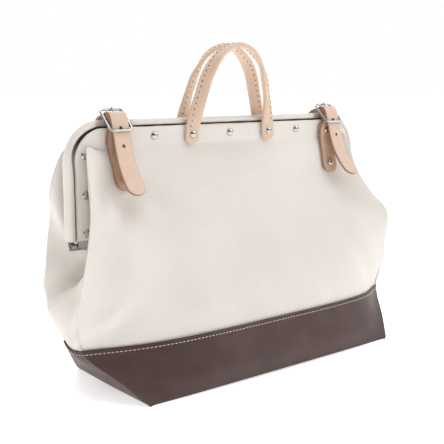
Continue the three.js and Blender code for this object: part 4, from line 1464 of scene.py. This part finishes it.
    def build_prong(self, finishes: Finishes) -> Piece:
        """Prong with its eye round the middle bar."""
        mid = self._at(self.buckle_mid)
        bm = bmesh.new()
        ring = [math.tau * k / 10 for k in range(10)]
        bore = self.bar + GAP
        wall = (self.prong_eye - bore) / 2
        start = mid + Vector((0, 0, bore + wall))
        points = [start + Vector((self.prong_half * math.cos(a), 0, wall * math.sin(a))) for a in ring]
        LoopRun(bm, points).arc(mid, Vector((1, 0, 0)), 360, 24)
        join(bm)
        add_rod(bm, self.prong_root, self._at(self.prong_tip), self.prong_radius, 0.7 * self.prong_radius)
        face_out(bm)
        word = f"prong_{self.side.word}"
        return dressed(f"wire_{word}", bm, "steel", [word], finishes.nickel)

    def build(self, finishes: Finishes) -> None:
        """Makes the four pieces of the strap."""
        self.build_chape(finishes)
        self.build_billet(finishes)
        self.build_buckle(finishes)
        self.build_prong(finishes)


STRAPS = (
    BuckledStrap(Side.LEFT, x=-152.5, at_buckle=2.5, at_tip=4, at_back=-5, lean=6),
    BuckledStrap(Side.RIGHT, x=151.5, at_buckle=8, at_tip=17, at_back=-5, lean=0),
)


@dataclass
class Rivet:
    """Domed rivet that stands where its solid does.

    Attributes:
        node: Name of the solid.
        head: Radius of the head.
        rise: Height of the dome with its rim.
        crown: Share of that height that the dome takes.
        shank: Radius of the shank.
        dome_steps: Points from the top of the dome to its rim.
        around: Points round the rivet.
    """

    node: str
    head: float = 4.2
    rise: float = 1.9
    crown: float = 0.85
    shank: float = 1.5
    dome_steps: int = 6
    around: int = 24

    def build(self, finishes: Finishes) -> Piece:
        """Spins the profile of the rivet round its axis."""
        low, high = (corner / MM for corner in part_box(self.node))
        back = self.node.startswith(("rivet_back", "rivet_billet"))
        away = -1 if back else 1
        tip, end = (high.y, low.y) if back else (low.y, high.y)
        middle = (low + high) / 2
        axis = Vector((middle.x, 0, middle.z))
        profile = [(0.0, 0.0)]
        for step in range(1, self.dome_steps + 1):
            angle = math.pi / 2 * step / self.dome_steps
            profile.append((self.head * math.sin(angle), self.rise * (1 - math.cos(angle)) * self.crown))
        length = abs(end - tip)
        profile += [(self.head, self.rise), (self.shank, self.rise), (self.shank, length), (0.0, length)]
        bm = bmesh.new()
        verts = [bm.verts.new(axis + Vector((r, tip + away * depth, 0))) for r, depth in profile]
        edges = [bm.edges.new((a, b)) for a, b in zip(verts, verts[1:])]
        bmesh.ops.spin(
            bm, geom=verts + edges, cent=axis, axis=(0, 1, 0), dvec=(0, 0, 0), angle=math.tau,
            steps=self.around, use_merge=True, use_duplicate=False,
        )
        join(bm)
        face_out(bm)
        return dressed(f"domed_{self.node}", bm, "nickel", [self.node], finishes.nickel, 50)


@dataclass
class SoftBox:
    """One studio light.

    Attributes:
        name: Name of the light.
        place: Where it stands, in metres.
        size: Length of its sides, in metres.
        power: Strength in watts.
    """

    name: str
    place: Triple
    size: float
    power: float

    def build(self, aim: Vector) -> None:
        """Sets the light up and turns it to the bag."""
        lamp = bpy.data.lights.new(self.name, "AREA")
        lamp.energy = self.power
        lamp.size = self.size
        stand = bpy.data.objects.new(self.name, lamp)
        stand.location = self.place
        stand.rotation_euler = (aim - stand.location).to_track_quat("-Z", "Y").to_euler()
        bpy.context.scene.collection.objects.link(stand)


@dataclass
class Studio:
    """Pale floor that glows as painted light, soft lights and the camera.

    Attributes:
        eye: Place of the camera, in metres.
        yaw: Turn of the view from +Y towards +X, in degrees.
        pitch: Fall of the view, in degrees.
        lens: Focal length on a sensor 36 mm wide.
        glow_long: Share of the distance along X that counts for the glow of the floor.
        glow_from: Distance from the middle from which the floor glows, in metres.
        glow_full: Distance at which the floor glows most.
        glow_strength: Strength of that glow.
        bright_way: Direction in which the room is bright.
        bright_from: Lean to that direction from which it is brightest.
        room_dark: Colour of the dark side of the room.
        room_bright: Colour of the bright side of the room.
        aim: Point that the lights are turned to.
        lights: Soft boxes round the bag.
    """

    eye: Triple = (-0.5994, -0.7121, 0.3130)
    yaw: float = 38.8
    pitch: float = 9.6
    lens: float = 67.1
    glow_long: float = 0.42
    glow_from: float = 0.04
    glow_full: float = 0.085
    glow_strength: float = 0.6
    bright_way: Triple = (0.6, 0.25, 0.76)
    bright_from: float = 0.75
    room_dark: Triple = (0.17, 0.15, 0.13)
    room_bright: Triple = WHITE
    aim: Triple = (0, 0, 0.14)
    lights: list[SoftBox] = field(default_factory=lambda: [
        SoftBox("key_box", (1.6, -1.5, 1.5), 1.6, 16),
        SoftBox("left_box", (-1.6, 0.25, 0.6), 1.0, 5.2),
        SoftBox("top_box", (0.0, 0.4, 2.0), 1.6, 14),
    ])

    def set_floor(self) -> None:
        """Lays a wide, pale floor, which glows as painted light from a little way round the bag outward."""
        bm = bmesh.new()
        bmesh.ops.create_circle(bm, cap_ends=True, segments=96, radius=30000)
        floor = finished_mesh("studio_floor", bm)
        board = NodeBoard(bpy.data.materials.new("pale_floor"))
        here = board.place("Object")
        tone = board.blend(board.cloud(here, 3), (0.9, 0.9, 0.9), (0.92, 0.92, 0.92))
        reach = {0: board.stretched(here, (self.glow_long, 1, 1))}
        away = board.node("VectorMath", reach, operation="LENGTH").outputs["Value"]
        # Painted light: the floor itself glows, from none at the bag's footprint to full a few centimetres
        # away, and lights the bag from below.
        rise = {"From Min": self.glow_from, "From Max": self.glow_full, "To Max": self.glow_strength}
        glow = board.node("MapRange", {"Value": away, **rise}, interpolation_type="SMOOTHSTEP")
        board.coat(Base_Color=tone, Roughness=0.9, Specular_IOR_Level=0.1)
        board.coat(Emission_Color=(*WHITE, 1), Emission_Strength=glow.outputs["Result"])
        floor.data.materials.append(board.owner)

    def set_light(self) -> None:
        """Sets the soft boxes and the light of the room."""
        for box in self.lights:
            box.build(Vector(self.aim))
        bpy.context.scene.world = self._room()
        bpy.context.scene.view_settings.view_transform = "Standard"

    def _room(self) -> bpy.types.World:
        """Room that is bright above and to the right and dark to the left, with a white backdrop."""
        board = NodeBoard(bpy.data.worlds.new("studio_room"), "Background")
        way = {0: board.place("Generated"), 1: self.bright_way}
        lean = board.node("VectorMath", way, operation="DOT_PRODUCT").outputs["Value"]
        board.coat(Color=board.blend(lean, self.room_dark, self.room_bright, 0.0, self.bright_from))
        backdrop = board.node("Background", {"Color": (*WHITE, 1), "Strength": 1.0})
        seen = board.node("LightPath").outputs["Is Camera Ray"]
        rooms = {1: board.shader.outputs["Background"], 2: backdrop.outputs["Background"]}
        either = board.node("MixShader", {"Fac": seen, **rooms})
        board.feed(board.tree.nodes["World Output"], {"Surface": either.outputs["Shader"]})
        return board.owner

    def set_camera(self) -> None:
        """Stands the camera where the bag is seen from the front left."""
        lens = bpy.data.cameras.new("view_camera")
        lens.lens = self.lens
        lens.sensor_width = 36
        camera = bpy.data.objects.new("view_camera", lens)
        camera.location = self.eye
        camera.rotation_euler = (math.radians(90 - self.pitch), 0, math.radians(-self.yaw))
        bpy.context.scene.collection.objects.link(camera)
        bpy.context.scene.camera = camera

    def build(self) -> None:
        """Sets the whole studio up."""
        self.set_camera()
        self.set_floor()
        self.set_light()


def main() -> None:
    """Builds the studio and every piece of the bag."""
    logging.basicConfig(level=logging.INFO, format="%(name)s %(message)s")
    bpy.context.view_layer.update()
    Studio().build()
    finishes = Finishes()
    shape = BagShape()
    CanvasBody(shape).build(finishes)
    base = VinylBase(shape)
    base.build(finishes)
    base.sew(finishes)
    MouthFrame().dress(finishes)
    for rail in (FRONT_RAIL, BACK_RAIL):
        handle = RolledHandle(rail)
        handle.build(finishes)
        handle.sew(finishes)
    MouthHem(FRONT_RAIL).build(finishes)
    # The back hem carries painted shade where the front hem shuts in front of it.
    back = MouthHem(
        BACK_RAIL, FRONT_RAIL, roll=7.6, bulge=3.8, strapped=(-150.5, 159.5), fuller=(2.2, 4.4)
    )
    back.build(finishes)
    for strap in STRAPS:
        strap.build(finishes)
    for node in sorted(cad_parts):
        if node.startswith("rivet"):
            Rivet(node).build(finishes)


if __name__ == "__main__":
    main()
